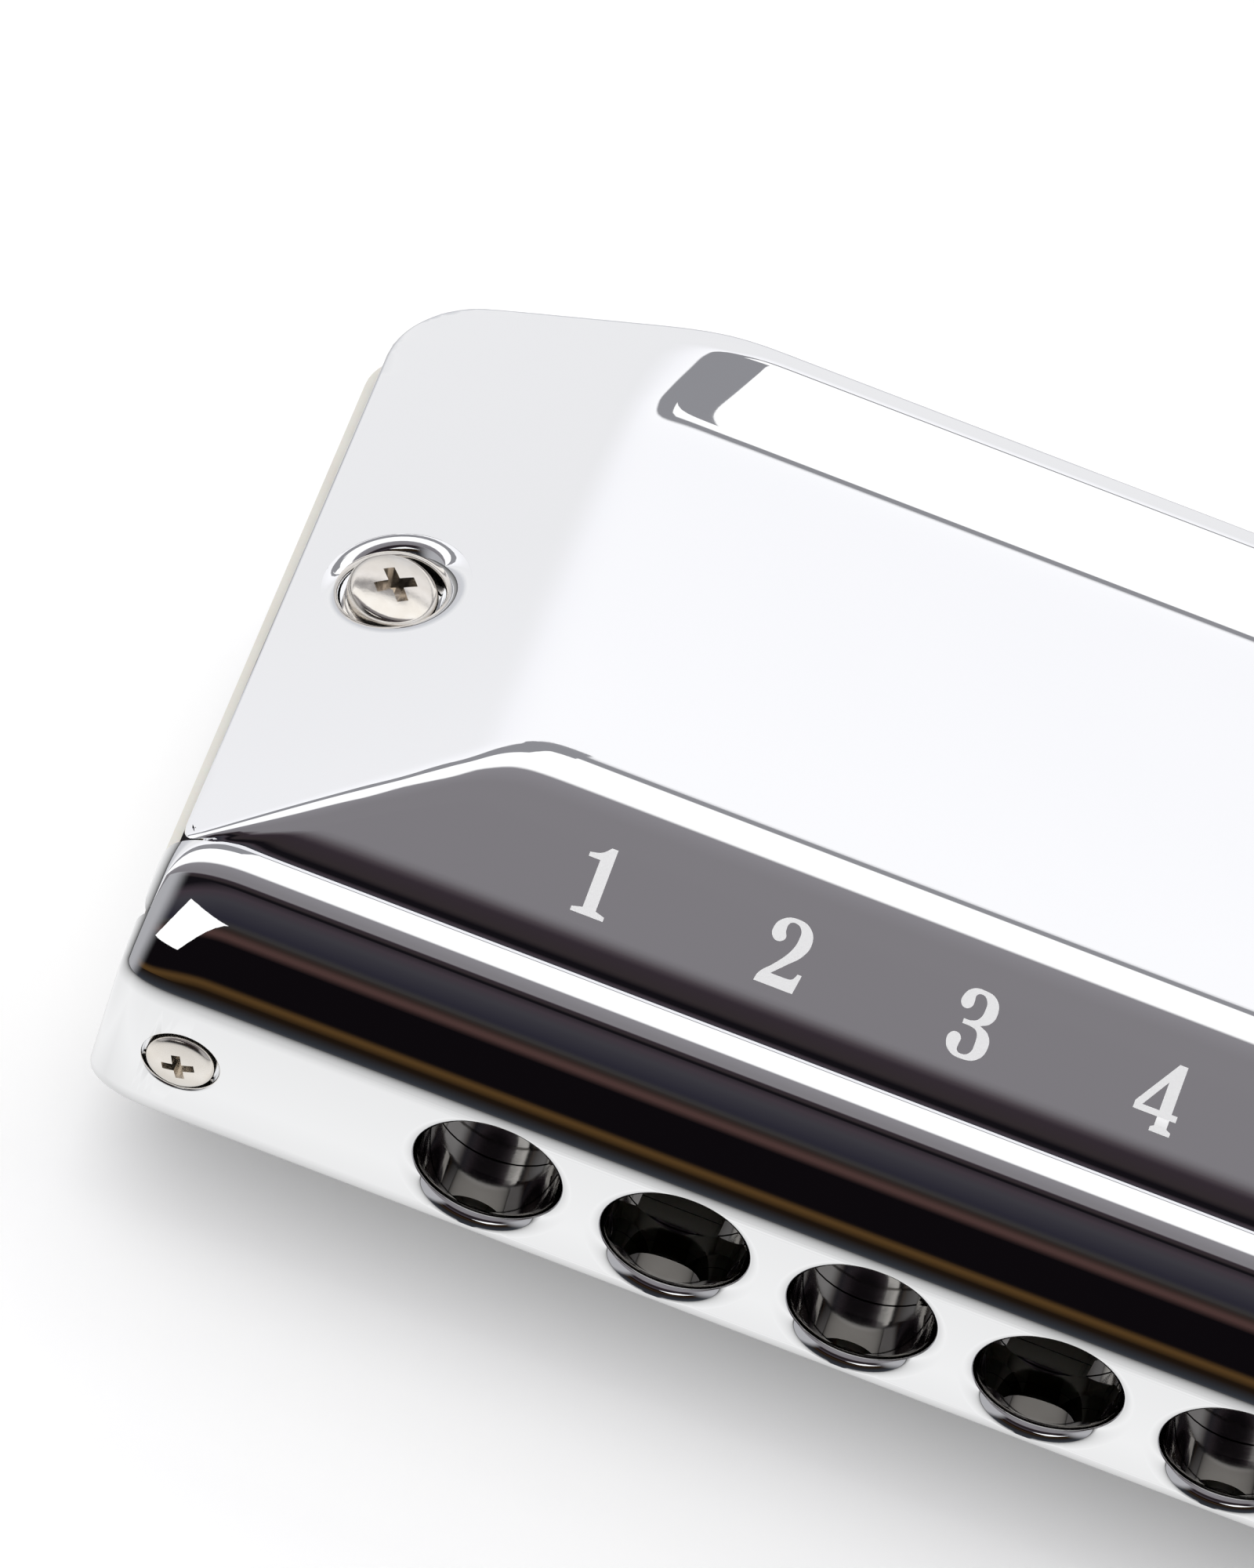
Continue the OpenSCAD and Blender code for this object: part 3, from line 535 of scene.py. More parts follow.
def trim(bm, point, outward, close=True):
    """Slice off what lies beyond a plane, and close the cut."""
    cut = bmesh.ops.bisect_plane(bm, geom=whole(bm), plane_co=point, plane_no=outward,
                                 clear_outer=True)["geom_cut"]
    if close:
        bmesh.ops.contextual_create(bm, geom=of_kind(cut, bmesh.types.BMEdge))


def bend(bm, edges, width, segments):
    bmesh.ops.bevel(bm, geom=edges, affect="EDGES", offset=width, segments=segments, profile=0.5,
                    material=-1)


def pressed_part(face):
    """The part of the cover's sharp block that a face belongs to, told by the way it looks."""
    way = face.normal
    if way.z < -0.9:
        return "bottom"
    if way.z < 0.1:
        return "end" if abs(way.x) > 0.999 else "front" if way.y < -0.999 else "rear"
    if abs(way.x) > 0.1:
        return "ramp"
    if abs(way.y) < 0.001:
        return "panel"
    return "rim" if way.y > 0 else "rise" if way.y > -0.4 else "facet"


def edges_between(bm, *parts):
    return [e for e in bm.edges if {pressed_part(f) for f in e.link_faces} == set(parts)]


def cover_cage():
    """The cover as a sharp block with a narrow margin along every ridge, ready to be subdivided."""
    skirt, spare = 4, 1
    low = base_z - skirt
    outline = [(foot_y, low), (cover_rear, low), (cover_rear, rim_z), (crest_y, crest_top),
               (valley_y, panel_z), (brow_y, panel_z), (foot_y, foot_z)]
    block = bmesh.new()
    section = block.faces.new([block.verts.new((-cover_half - spare, y, z)) for y, z in outline])
    run = bmesh.ops.extrude_face_region(block, geom=[section])["geom"]
    moved = of_kind(run, bmesh.types.BMVert)
    bmesh.ops.translate(block, vec=(2 * cover_half + 2 * spare, 0, 0), verts=moved)
    for side in (-1, 1):
        trim(block, (side * cover_half, 0, 0), (side, 0, 0))
        trim(block, (side * cover_half, 0, foot_z), (side * ramp_rise, 0, 1))
    bmesh.ops.recalc_face_normals(block, faces=block.faces)
    bend(block, edges_between(block, "end", "rear"), cover_corner_r, 8)
    block.normal_update()
    outer = [edges_between(block, *parts) for parts in outer_pairs]
    bend(block, sum(outer, []), rim_bend, 3)
    held_ys = (foot_y + 2.9, valley_y - 2.0, valley_y + 1.4, crest_y - 0.9, crest_y + 0.45)
    for y in held_ys:
        score(block, None, (0, y), (1, y))
    panel_gap, facet_gap, end_gap, ramp_gap, foot_gap, corner_gap = 1.7, 2.0, 3.2, 2.1, 1.6, 0.45
    brow_x = cover_half - (panel_z - foot_z) / ramp_rise
    peak_x = cover_half - (crest_top - foot_z) / ramp_rise
    for step in (1, 2):
        panel_y, facet_y = brow_y + panel_gap * step, brow_y - facet_gap * step
        score(block, "panel", (0, panel_y), (1, panel_y))
        score(block, "facet", (0, facet_y), (1, facet_y))
        for side in (-1, 1):
            inner_x = side * (brow_x - end_gap * step)
            saddle_x = side * (peak_x - end_gap * step)
            ramp_x = side * (brow_x + ramp_gap * step)
            foot_x = side * (cover_half - foot_gap * step)
            score(block, "panel", (inner_x, 0), (inner_x, 1))
            score(block, "facet", (inner_x, brow_y), (foot_x, foot_y))
            corner = (side * cover_half, foot_y + corner_gap * step)
            score(block, "ramp", (side * brow_x, panel_y), corner)
            score(block, "ramp", (ramp_x, 0), (ramp_x, 1))
            score(block, "rise", (inner_x, valley_y), (saddle_x, crest_y))
            score(block, "rim", (saddle_x, 0), (saddle_x, 1))
            score(block, "front", (foot_x, 0), (foot_x, 1))
    front = part_geometry(block, "front")
    bmesh.ops.bisect_plane(block, geom=front, plane_co=(0, 0, foot_z - 1.1), plane_no=(0, 0, 1))
    block.normal_update()
    crease = block.edges.layers.float.new("crease_edge")
    for edge in block.edges:
        gaps = [from_outline(vert.co) for vert in edge.verts]
        along = abs(gaps[0] - gaps[1]) < hair
        if (along and max(gaps) < rim_bend + hair) or max(v.co.z for v in edge.verts) < low + hair:
            edge[crease] = 1.0
    return in_millimetres("upper_cover_chromed", block)


def from_outline(point):
    """How far a point lies inside the cover's ends and rear, seen from above."""
    x = abs(point.x) - cover_half + cover_corner_r
    y = point.y - cover_rear + cover_corner_r
    return cover_corner_r - (math.hypot(x, y) if min(x, y) > 0 else max(x, y))


def with_borders(faces):
    """Faces with their corners and edges, each one once and in the same order every time."""
    verts = dict.fromkeys(v for f in faces for v in f.verts)
    edges = dict.fromkeys(e for f in faces for e in f.edges)
    return [*verts, *edges, *faces]


def part_geometry(bm, part):
    """What one part of the block consists of, or the whole block where no part is named."""
    bm.normal_update()
    return with_borders([f for f in bm.faces if part is None or pressed_part(f) == part])


def score(bm, part, start, end):
    """Draw a holding line on one part of the block, through two points seen from above."""
    across = (end[1] - start[1], start[0] - end[0], 0)
    bmesh.ops.bisect_plane(bm, geom=part_geometry(bm, part), plane_co=(*start, 0), plane_no=across)


def from_dimple(point):
    return math.hypot(abs(point.x) - cover_screw_x, point.y - cover_screw_y)


def dimple_tool(side):
    """A seat with a level floor, and a rolled lip that leans with the ramp."""
    top = foot_z + ramp_rise * (cover_half - cover_screw_x) - hair
    lip = arc_points((dimple_r + dimple_rim, top - dimple_rim), dimple_rim, 180, 90, 10)
    seat = [(0, 0), (cover_bore_r, 0), (cover_bore_r, dimple_z), (dimple_r, dimple_z), *lip,
            (dimple_r + dimple_rim, clear_z), (0, clear_z)]
    tool = turned("dimple_tool", seat, [(side * cover_screw_x, cover_screw_y, 0)], (0, 0, 1))
    lean = Matrix.Identity(4)
    lean[2][0] = -side * ramp_rise
    lean[2][3] = ramp_rise * cover_screw_x
    shape = bmesh.new()
    shape.from_mesh(tool.data)
    raised = [v for v in shape.verts if v.co.z > dimple_z + hair]
    bmesh.ops.transform(shape, matrix=lean, verts=raised)
    shape.to_mesh(tool.data)
    shape.free()
    return tool


def corner_tool():
    """What lies outside the two round front corners."""
    spare = 2
    inner_x, inner_y = cover_half - front_corner_r, foot_y + front_corner_r
    outer_x, outer_y = cover_half + spare, foot_y - spare
    arc = arc_points((inner_x, inner_y), front_corner_r, 0, -90, 8)
    outline = [*arc, (inner_x, outer_y), (outer_x, outer_y), (outer_x, inner_y)]
    shape = bmesh.new()
    for side in (-1, 1):
        section = shape.faces.new([shape.verts.new((side * x, y, 0)) for x, y in outline])
        run = bmesh.ops.extrude_face_region(shape, geom=[section])["geom"]
        bmesh.ops.translate(shape, vec=(0, 0, clear_z), verts=of_kind(run, bmesh.types.BMVert))
    return in_millimetres("corner_tool", shape)


def press(piece):
    """Draw the cage into smooth sheet, round its front corners, and sink the seats of the screws."""
    rounds = 3
    step = piece.modifiers.new("press", "SUBSURF")
    step.levels = rounds
    step.render_levels = rounds
    cut_away(piece)
    cut_away(piece, dimple_tool(-1), dimple_tool(1), corner_tool())


def open_sheet(piece):
    """Leave only the pressed skin: no underside, no rear wall below the lip, and bored seats."""
    shape = bmesh.new()
    shape.from_mesh(piece.data)
    trim(shape, (0, 0, base_z), (0, 0, -1), close=False)
    rear_from = crest_y - 4
    rear = with_borders([f for f in shape.faces if f.normal.y > 0.99])
    bmesh.ops.bisect_plane(shape, geom=rear, plane_co=(0, 0, lip_z), plane_no=(0, 0, 1))

    def unwanted(face):
        middle = face.calc_center_median()
        bore = from_dimple(middle) < 1.2 * cover_bore_r and middle.z < dimple_z - hair
        upright = abs(face.normal.z) < 0.2 and middle.y > rear_from and middle.z < lip_z
        return bore or upright

    bmesh.ops.delete(shape, geom=[f for f in shape.faces if unwanted(f)], context="FACES")
    shape.to_mesh(piece.data)
    shape.free()
    skin = piece.modifiers.new("sheet", "SOLIDIFY")
    skin.thickness = sheet_t
    skin.offset = -1
    cut_away(piece)


upper_cover = cover_cage()
press(upper_cover)
open_sheet(upper_cover)
lower_cover = bpy.data.objects.new("lower_cover_chromed", upper_cover.data.copy())
bpy.context.scene.collection.objects.link(lower_cover)
lower_cover.data.transform(Matrix.Scale(-1, 4, (0, 0, 1)))
lower_cover.data.flip_normals()
chrome_sheet = chrome("chrome_sheet", polish=(40, 1, 1), haze=0.018)
settle(upper_cover, chrome_sheet, ["upper_cover"])
settle(lower_cover, chrome_sheet, ["lower_cover"])


# Hole numbers: etched into the front facet and left matt white, one number above every hole.
# They are thin inlays on the polished metal.
facet_tilt = math.atan2(panel_z - foot_z, brow_y - foot_y)
number_h, number_foot, number_t = 3.4, 3.5, 0.012
glyphs = {
    "0": [[(0.34, 1.0, 1), (0.12, 0.84, 1), (0.05, 0.5, 1), (0.12, 0.16, 1), (0.34, 0.0, 1),
           (0.56, 0.16, 1), (0.63, 0.5, 1), (0.56, 0.84, 1)],
          [(0.34, 0.93, 1), (0.425, 0.82, 1), (0.44, 0.5, 1), (0.425, 0.18, 1), (0.34, 0.07, 1),
           (0.255, 0.18, 1), (0.24, 0.5, 1), (0.255, 0.82, 1)]],
    "1": [[(0.12, 0.0), (0.60, 0.0), (0.60, 0.06), (0.46, 0.10), (0.46, 1.0), (0.37, 1.0),
           (0.27, 0.90, 1), (0.10, 0.85), (0.10, 0.79), (0.27, 0.79), (0.27, 0.10), (0.12, 0.06)]],
    "2": [[(0.05, 0.0), (0.62, 0.0), (0.66, 0.28), (0.60, 0.28), (0.55, 0.19, 1), (0.45, 0.17),
           (0.24, 0.17), (0.42, 0.36, 1), (0.58, 0.54, 1), (0.64, 0.74, 1), (0.56, 0.93, 1),
           (0.35, 1.0, 1), (0.14, 0.93, 1), (0.06, 0.77, 1), (0.09, 0.66, 1), (0.18, 0.62, 1),
           (0.27, 0.69, 1), (0.24, 0.80, 1), (0.26, 0.91, 1), (0.34, 0.935, 1), (0.43, 0.88, 1),
           (0.45, 0.73, 1), (0.40, 0.55, 1), (0.24, 0.31, 1), (0.08, 0.12, 1)]],
    "3": [[(0.19, 0.47), (0.19, 0.54), (0.28, 0.54), (0.38, 0.59, 1), (0.43, 0.74, 1), (0.40, 0.89, 1),
           (0.32, 0.935, 1), (0.25, 0.90, 1), (0.25, 0.82, 1), (0.24, 0.73, 1), (0.16, 0.68, 1),
           (0.08, 0.73, 1), (0.08, 0.85, 1), (0.17, 0.97, 1), (0.33, 1.0, 1), (0.53, 0.94, 1),
           (0.61, 0.76, 1), (0.56, 0.59, 1), (0.44, 0.515), (0.58, 0.44, 1), (0.64, 0.27, 1),
           (0.56, 0.07, 1), (0.33, 0.0, 1), (0.14, 0.05, 1), (0.06, 0.18, 1), (0.08, 0.29, 1),
           (0.16, 0.33, 1), (0.24, 0.28, 1), (0.24, 0.17, 1), (0.25, 0.09, 1), (0.33, 0.065, 1),
           (0.42, 0.11, 1), (0.45, 0.27, 1), (0.41, 0.43, 1), (0.30, 0.47)]],
    "4": [[(0.34, 0.0), (0.64, 0.0), (0.64, 0.06), (0.57, 0.09), (0.57, 0.22), (0.66, 0.22),
           (0.66, 0.31), (0.57, 0.31), (0.57, 1.0), (0.45, 1.0), (0.03, 0.33), (0.03, 0.22),
           (0.39, 0.22), (0.39, 0.09), (0.34, 0.06)],
          [(0.39, 0.31), (0.14, 0.31), (0.39, 0.72)]],
    "5": [[(0.10, 0.47), (0.12, 1.0), (0.57, 1.0), (0.57, 0.83), (0.17, 0.83), (0.16, 0.60),
           (0.35, 0.65, 1), (0.56, 0.56, 1), (0.64, 0.33, 1), (0.56, 0.09, 1), (0.33, 0.0, 1),
           (0.14, 0.05, 1), (0.06, 0.18, 1), (0.08, 0.28, 1), (0.16, 0.32, 1), (0.24, 0.27, 1),
           (0.24, 0.17, 1), (0.25, 0.09, 1), (0.33, 0.065, 1), (0.42, 0.12, 1), (0.45, 0.33, 1),
           (0.41, 0.53, 1), (0.31, 0.575, 1), (0.18, 0.53, 1), (0.16, 0.47)]],
    "6": [[(0.62, 0.80, 1), (0.56, 0.95, 1), (0.38, 1.0, 1), (0.14, 0.85, 1), (0.05, 0.46, 1),
           (0.12, 0.12, 1), (0.34, 0.0, 1), (0.56, 0.09, 1), (0.64, 0.32, 1), (0.57, 0.54, 1),
           (0.40, 0.61, 1), (0.25, 0.55), (0.27, 0.84, 1), (0.38, 0.935, 1), (0.45, 0.90, 1),
           (0.45, 0.80, 1), (0.53, 0.73, 1)],
          [(0.35, 0.54, 1), (0.43, 0.48, 1), (0.45, 0.31, 1), (0.42, 0.11, 1), (0.34, 0.065, 1),
           (0.27, 0.12, 1), (0.24, 0.31, 1), (0.27, 0.48, 1)]],
    "7": [[(0.06, 1.0), (0.04, 0.70), (0.10, 0.70), (0.16, 0.80, 1), (0.26, 0.82), (0.46, 0.82),
           (0.24, 0.42, 1), (0.18, 0.0), (0.38, 0.0), (0.42, 0.42, 1), (0.64, 0.90), (0.64, 1.0)]],
    "8": [[(0.34, 1.0, 1), (0.14, 0.93, 1), (0.07, 0.75, 1), (0.12, 0.60, 1), (0.20, 0.53),
           (0.09, 0.43, 1), (0.04, 0.26, 1), (0.12, 0.06, 1), (0.34, 0.0, 1), (0.56, 0.06, 1),
           (0.64, 0.26, 1), (0.59, 0.43, 1), (0.48, 0.53), (0.56, 0.60, 1), (0.61, 0.75, 1),
           (0.54, 0.93, 1)],
          [(0.34, 0.93, 1), (0.42, 0.88, 1), (0.43, 0.75, 1), (0.40, 0.62, 1), (0.34, 0.58, 1),
           (0.28, 0.62, 1), (0.25, 0.75, 1), (0.26, 0.88, 1)],
          [(0.34, 0.48, 1), (0.42, 0.42, 1), (0.45, 0.26, 1), (0.42, 0.11, 1), (0.34, 0.07, 1),
           (0.26, 0.11, 1), (0.23, 0.26, 1), (0.26, 0.42, 1)]],
}
glyphs["9"] = [[(0.69 - x, 1 - y, *smooth) for x, y, *smooth in loop] for loop in glyphs["6"]]


def flat_number(number, x):
    """A number as one flat curve, stood on the facet above its hole, then made a mesh."""
    step, span = 0.66, 0.69
    figure = bpy.data.curves.new("number", "CURVE")
    figure.dimensions = "2D"
    figure.fill_mode = "BOTH"
    figure.resolution_u = 6
    figure.extrude = number_t / number_h
    for place, digit in enumerate(str(number)):
        for loop in glyphs[digit]:
            line = figure.splines.new("BEZIER")
            line.bezier_points.add(len(loop) - 1)
            line.use_cyclic_u = True
            for point, (u, v, *smooth) in zip(line.bezier_points, loop):
                point.co = (u + step * place, v, 0)
                kind = "AUTO" if smooth else "VECTOR"
                point.handle_left_type = kind
                point.handle_right_type = kind
    width = span + step * (len(str(number)) - 1)
    holder = bpy.data.objects.new("number", figure)
    mesh = bpy.data.meshes.new_from_object(holder)
    bpy.data.objects.remove(holder)
    up = Vector((0, math.cos(facet_tilt), math.sin(facet_tilt)))
    foot = Vector((x, foot_y, foot_z)) + number_foot * up
    stand = Matrix.Translation(foot) @ Matrix.Rotation(facet_tilt, 4, "X") @ Matrix.Scale(number_h, 4)
    mesh.transform(stand @ Matrix.Translation((-width / 2, 0, 0)))
    return mesh


def frosted_etching():
    finish = Finish("frosted_etching", Roughness=0.5)
    frost = finish.noise(size_mm=0.12, detail=3.0)
    finish.set(Base_Color=finish.mixed(frost, (0.95, 0.95, 0.96), (1.0, 1.0, 1.0)))
    finish.set(Normal=finish.relief(frost, depth_mm=0.004))
    return finish


numbers = bmesh.new()
for number, x in enumerate(hole_xs, 1):
    figure = flat_number(number, x)
    numbers.from_mesh(figure)
    bpy.data.meshes.remove(figure)
numbers = in_millimetres("hole_numbers", numbers)
settle(numbers, frosted_etching(), [])


# Screws of covers and mouthpiece: turned from brass, nickel plated, with domed heads
# and a punched cross recess. They hold the covers on the comb, and the mouthpiece in front of it.
def domed_top(radius, height, dome_r, edge_r):
    """The outline of a domed head, up round its edge and over to its middle."""
    dome = Vector((0, height - dome_r))
    edge_x = radius - edge_r
    edge_y = dome.y + math.sqrt((dome_r - edge_r) ** 2 - edge_x ** 2)
    end = math.degrees(math.atan2(edge_y - dome.y, edge_x))
    return arc_points((edge_x, edge_y), edge_r, 0, end, 5) + arc_points(dome, dome_r, end, 90, 10)[1:]


def cross_head(name, places, axis, head_d, head_h, shank_r, shank_l, turn):
    """A domed screw head with a cross recess at every place, and the shank below it."""
    chamfer, point_l = 0.1, 0.6
    outline = [(0, -shank_l), (0.6 * shank_r, -shank_l), (shank_r, -shank_l + point_l), (shank_r, 0),
               (head_d / 2 - chamfer, 0), (head_d / 2, chamfer)]
    outline += domed_top(head_d / 2, head_h, dome_r=1.7 * head_d, edge_r=0.1 * head_d)
    screws = turned(name, outline, places, axis)
    arm, blade, depth = 0.66 * head_d, 0.17 * head_d, 0.26 * head_d
    taper = (0.45, 0.55, 1)
    lie = upright_to(axis).to_4x4()
    for quarter in (0, 90):
        slots = bmesh.new()
        for place in places:
            verts = bmesh.ops.create_cube(slots, size=1.0)["verts"]
            bmesh.ops.scale(slots, vec=(arm, blade, 2 * depth), verts=verts)
            bmesh.ops.scale(slots, vec=taper, verts=[v for v in verts if v.co.z < 0])
            sink = Matrix.Translation(place) @ lie @ Matrix.Translation((0, 0, head_h))
            spin = Matrix.Rotation(math.radians(turn + quarter), 4, "Z")
            bmesh.ops.transform(slots, matrix=sink @ spin, verts=verts)
        cut_away(screws, in_millimetres("slot_tool", slots))
    return screws


def settle_screws():
    for side, level in (("upper", 1), ("lower", -1)):
        places = [(s * cover_screw_x, cover_screw_y, level * dimple_z) for s in (-1, 1)]
        screws = cross_head(f"{side}_cover_screw_set", places, (0, 0, level), head_d=4.5, head_h=1.5,
                            shank_r=1.0, shank_l=5.6, turn=36)
        settle(screws, screw_nickel, [f"{side}_cover_screws"])
    places = [(s * mouth_screw_x, seat_depth, 0) for s in (-1, 1)]
    screws = cross_head("mouthpiece_screw_set", places, (0, -1, 0), head_d=3.4, head_h=1.25,
                        shank_r=0.9, shank_l=12.1, turn=20)
    settle(screws, screw_nickel, ["mouthpiece_screws"])


settle_screws()


# Button: a turned brass knob, chromed, pinned on the tail of the slide.
# The player presses its domed face to push the slide in.
def button_knob():
    low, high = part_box("button")
    head_r, length = 500 * (high.z - low.z), 1000 * (high.x - low.x)
    neck_r, neck_l = head_r - 0.7, 2.0
    chamfer, fillet_r, rim_r = 0.2, 0.3, 0.2
    outline = [(0, 0), (neck_r - chamfer, 0), (neck_r, chamfer), (neck_r, neck_l - fillet_r)]
    outline += arc_points((neck_r + fillet_r, neck_l - fillet_r), fillet_r, 180, 90, 4)[1:]
    outline += arc_points((head_r - rim_r, neck_l + rim_r), rim_r, 270, 360, 4)
    outline += domed_top(head_r, length, dome_r=2.4 * head_r, edge_r=0.35)
    foot = to_frame.inverted() @ Vector((low.x, (low.y + high.y) / 2, (low.z + high.z) / 2))
    return turned("button_chromed", outline, [foot], (1, 0, 0))


chrome_knob = chrome("chrome_knob", polish=(1, 1, 1), haze=0.018)
settle(button_knob(), chrome_knob, ["button"], "slide")


# Floor: a plain white sweep. It touches the lower cover along its rear crest and its front brow,
# so the instrument lies on it as it would on a table.
def studio_floor():
    """White to the camera and to light. In the metal and in bounced light it is a glowing floor of
    painted light, with a painted shadow under the part and painted darkening far away from it.
    """
    reach = 2.0
    crest_at, brow_at = 0.0207, -0.0075
    crest_up, brow_up = 0.0003, 0.0013
    shade_in, shade_out, fade_over = -0.012, 0.008, 0.06
    darkest, brightest = 0.2, 1.05
    slope = (brow_up - crest_up) / (brow_at - crest_at)
    sweep = bmesh.new()
    corners = [(-reach, -reach), (reach, -reach), (reach, reach), (-reach, reach)]
    sweep.faces.new([sweep.verts.new((x, y, crest_up + slope * (y - crest_at))) for x, y in corners])
    floor = placed("floor", sweep)
    material = bpy.data.materials.new("white_sweep")
    floor.data.materials.append(material)
    sheet = Sheet(material)
    paint = sheet.add("ShaderNodeBsdfDiffuse", values={"Color": (0.97, 0.97, 0.97, 1.0)})
    glow = sheet.add("ShaderNodeEmission", values={"Strength": 0.09})
    lit = sheet.add("ShaderNodeAddShader", values={0: paint, 1: glow})
    place = sheet.place()
    ends = place.math("ABSOLUTE", place - row_place.x) - mouth_half / 1000
    front = place.math("ABSOLUTE", place.out("Y")) + row_place.y
    away = place.math("MAXIMUM", ends, front)
    # Painted shadow: the floor's glow drops to its darkest under the part.
    under = sheet.rising(away, shade_in, shade_out, darkest, brightest)
    # Painted falloff: the glow fades away from the part.
    painted_falloff = away.math("DIVIDE", fade_over, fade_over + away.math("MAXIMUM", away, 0.0))
    # Painted light: this glow is what the metal and bounced light see of the floor.
    painted_floor_glow = sheet.add("ShaderNodeEmission", values={"Strength": under * painted_falloff})
    by_camera = sheet.add("ShaderNodeLightPath", output="Is Camera Ray")
    both = sheet.add("ShaderNodeMixShader", values={0: by_camera, 1: painted_floor_glow, 2: lit})
    sheet.plug(both, sheet.tree.nodes["Material Output"].inputs["Surface"])


studio_floor()


# Studio: a white tent overhead and behind, with a seam across it, and a dark room in front.
# The polished faces mirror it, so its bands stand at the angles that they are seen under.
tent_white, seam_grey, room_grey = (1.10, 1.10, 1.10), (0.28, 0.28, 0.30), (0.22, 0.21, 0.225)
tent_bands = [
    (-180, (0.80, 0.80, 0.82)),
    (-90, (0.60, 0.60, 0.63)),
    (-72, (0.64, 0.65, 0.68)),
    (-58, (0.89, 0.89, 0.90)),
    (-52, (0.87, 0.87, 0.885)),
    (-46, (0.98, 0.98, 1.01)),
    (-40.4, (1.04, 1.04, 1.06)),
    (-39.6, seam_grey),
    (-37.4, seam_grey),
    (-36.6, tent_white),
    (1, tent_white),
    (4, (0.26, 0.25, 0.27)),
    (20, room_grey),
    (180, room_grey),
]
room_bands = [
    (26.9, (0.217, 0.207, 0.222)),
    (28.3, (0.080, 0.066, 0.075)),
    (29.4, (0.034, 0.025, 0.032)),
    (33.7, (0.032, 0.025, 0.027)),
    (36.6, (0.006, 0.005, 0.007)),
    (39, (0.007, 0.006, 0.008)),
    (41.2, (0.052, 0.040, 0.050)),
    (43, (0.046, 0.044, 0.053)),
    (46.5, (0.022, 0.021, 0.032)),
    (47.3, (0.040, 0.038, 0.038)),
    (48, (0.024, 0.016, 0.014)),
    (49.2, (0.082, 0.044, 0.040)),
    (50.4, (0.004, 0.003, 0.004)),
    (57.4, (0.004, 0.003, 0.004)),
    (58.8, (0.090, 0.048, 0.016)),
    (60.6, (0.012, 0.007, 0.004)),
    (84, (0.030, 0.034, 0.042)),
    (126, room_grey),
]


def band_colours(sheet, angle, bands):
    """The colour at an angle, from bands of degrees and colours."""
    low, high = bands[0][0], bands[-1][0]
    stops = [((degrees - low) / (high - low), colour) for degrees, colour in bands]
    share = angle.math("DIVIDE", angle - low, high - low)
    return sheet.add("ShaderNodeValToRGB", {"stops": stops}, {0: share})


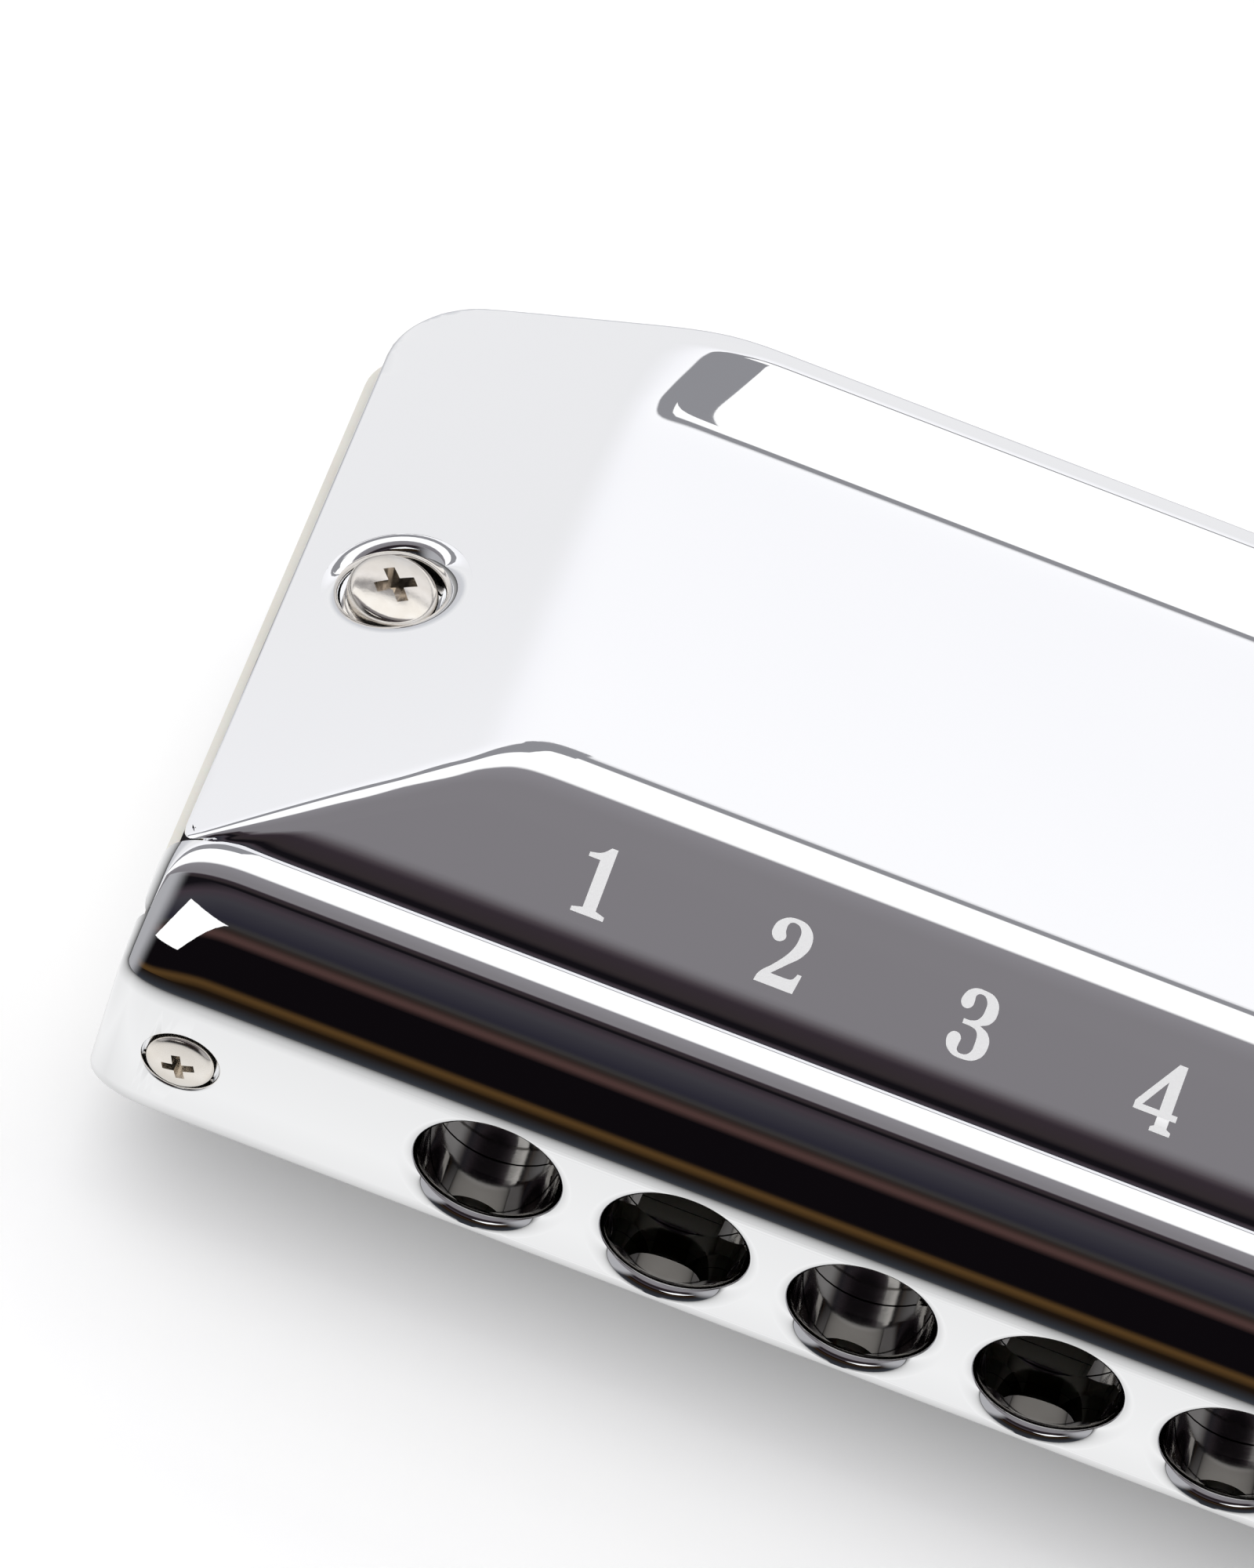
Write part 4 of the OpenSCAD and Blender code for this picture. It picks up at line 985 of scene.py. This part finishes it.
def studio_light():
    world = bpy.data.worlds.new("studio")
    bpy.context.scene.world = world
    sheet = Sheet(world)

    def soft_step(value, start, end):
        return sheet.rising(value, start, end, kind="SMOOTHSTEP")

    def over(view, share, colour):
        return sheet.blend(share, view, (*colour, 1.0))

    # A direction has a tilt over the long axis, from straight up towards the front, and an x along it.
    way = sheet.add("ShaderNodeSeparateXYZ", values={"Vector": sheet.add("ShaderNodeTexCoord")})
    tilt = way.math("ARCTAN2", 0 - way.out("Y"), way.out("Z")) * math.degrees(1)
    tent = band_colours(sheet, tilt, tent_bands)
    room = band_colours(sheet, tilt, room_bands)
    wall_grey = (0.42, 0.42, 0.44)
    right_wall, left_wall = soft_step(way, 0.50, 0.70), soft_step(0 - way, 0.62, 0.92)
    room = over(room, way.math("MAXIMUM", right_wall, left_wall), wall_grey)
    room_from, room_to = 26, 126
    view = sheet.blend((tilt > room_from) * (tilt < room_to), tent, room)

    # The seam of the tent gets wider towards the left.
    seam_x, widening, widest = -0.04, 80, 0.1
    leftward = way.math("MINIMUM", way.math("MAXIMUM", seam_x - way, 0.0), widest)
    seam_end = widening * leftward - 37
    seam = soft_step(tilt, -40.4, -39.6) * (1 - soft_step(tilt - seam_end, -0.4, 0.4))
    view = over(view, seam, seam_grey)

    # A small window with four edges, each with its tilt at the right tip and its slope.
    tip_x = -0.044
    from_tip = tip_x - way
    window = (tilt > 47.3 - 10.4 * from_tip) * (tilt < 47.3 + 23.3 * from_tip)
    window = window * (tilt > 31.6 + 28.6 * from_tip) * (tilt < 54.7 - 6.0 * from_tip)
    view = over(view, window, tent_white)
    by_camera = sheet.add("ShaderNodeLightPath", output="Is Camera Ray")
    view = over(view, by_camera, (1.0, 1.0, 1.0))
    sheet.plug(view, sheet.tree.nodes["Background"].inputs["Color"])


def lamp_above():
    """A round softbox above the left front, which the polished metal doesn't show."""
    lamp = bpy.data.lights.new("softbox", "AREA")
    lamp.shape = "DISK"
    lamp.size = 0.7
    lamp.energy = 2.4
    holder = bpy.data.objects.new("softbox", lamp)
    holder.location = (-0.25, -0.16, 0.6)
    holder.rotation_mode = "QUATERNION"
    holder.rotation_quaternion = (-holder.location).to_track_quat("-Z", "Y")
    holder.visible_glossy = False
    bpy.context.scene.collection.objects.link(holder)


def grey_card():
    """A leaning card above the rear left corner, which only the polished metal shows."""
    left, right_foot, right_head = -0.0902, -0.0598, -0.0580
    foot, head = (0.0328, 0.0820), (0.0746, 0.1200)
    card = bmesh.new()
    corners = [(left, *foot), (right_foot, *foot), (right_head, *head), (left, *head)]
    card.faces.new([card.verts.new(corner) for corner in corners])
    holder = placed("grey_card", card)
    material = bpy.data.materials.new("grey_card")
    holder.data.materials.append(material)
    sheet = Sheet(material)
    grey = sheet.add("ShaderNodeEmission", values={"Color": (*seam_grey, 1.0)})
    sheet.plug(grey, sheet.tree.nodes["Material Output"].inputs["Surface"])
    holder.visible_camera = False
    holder.visible_diffuse = False
    holder.visible_shadow = False


studio_light()
lamp_above()
grey_card()


# Camera: held by hand a third of a metre above the left end of the instrument, with a long lens.
# It is turned so that the hole row runs down to the right.
def photographer():
    camera = bpy.data.cameras.new("camera")
    camera.lens = 147.06
    camera.sensor_width = 36.0
    holder = bpy.data.objects.new("camera", camera)
    holder.location = Vector((-62.01, -204.64, 252.83)) / 1000
    aim = Vector((-57.19, -7.11, 26.7)) / 1000
    level = (aim - holder.location).to_track_quat("-Z", "Y")
    holder.rotation_mode = "QUATERNION"
    holder.rotation_quaternion = level @ Quaternion((0, 0, 1), math.radians(21.93))
    bpy.context.scene.collection.objects.link(holder)
    bpy.context.scene.camera = holder
    bpy.context.scene.view_settings.view_transform = "Standard"


photographer()
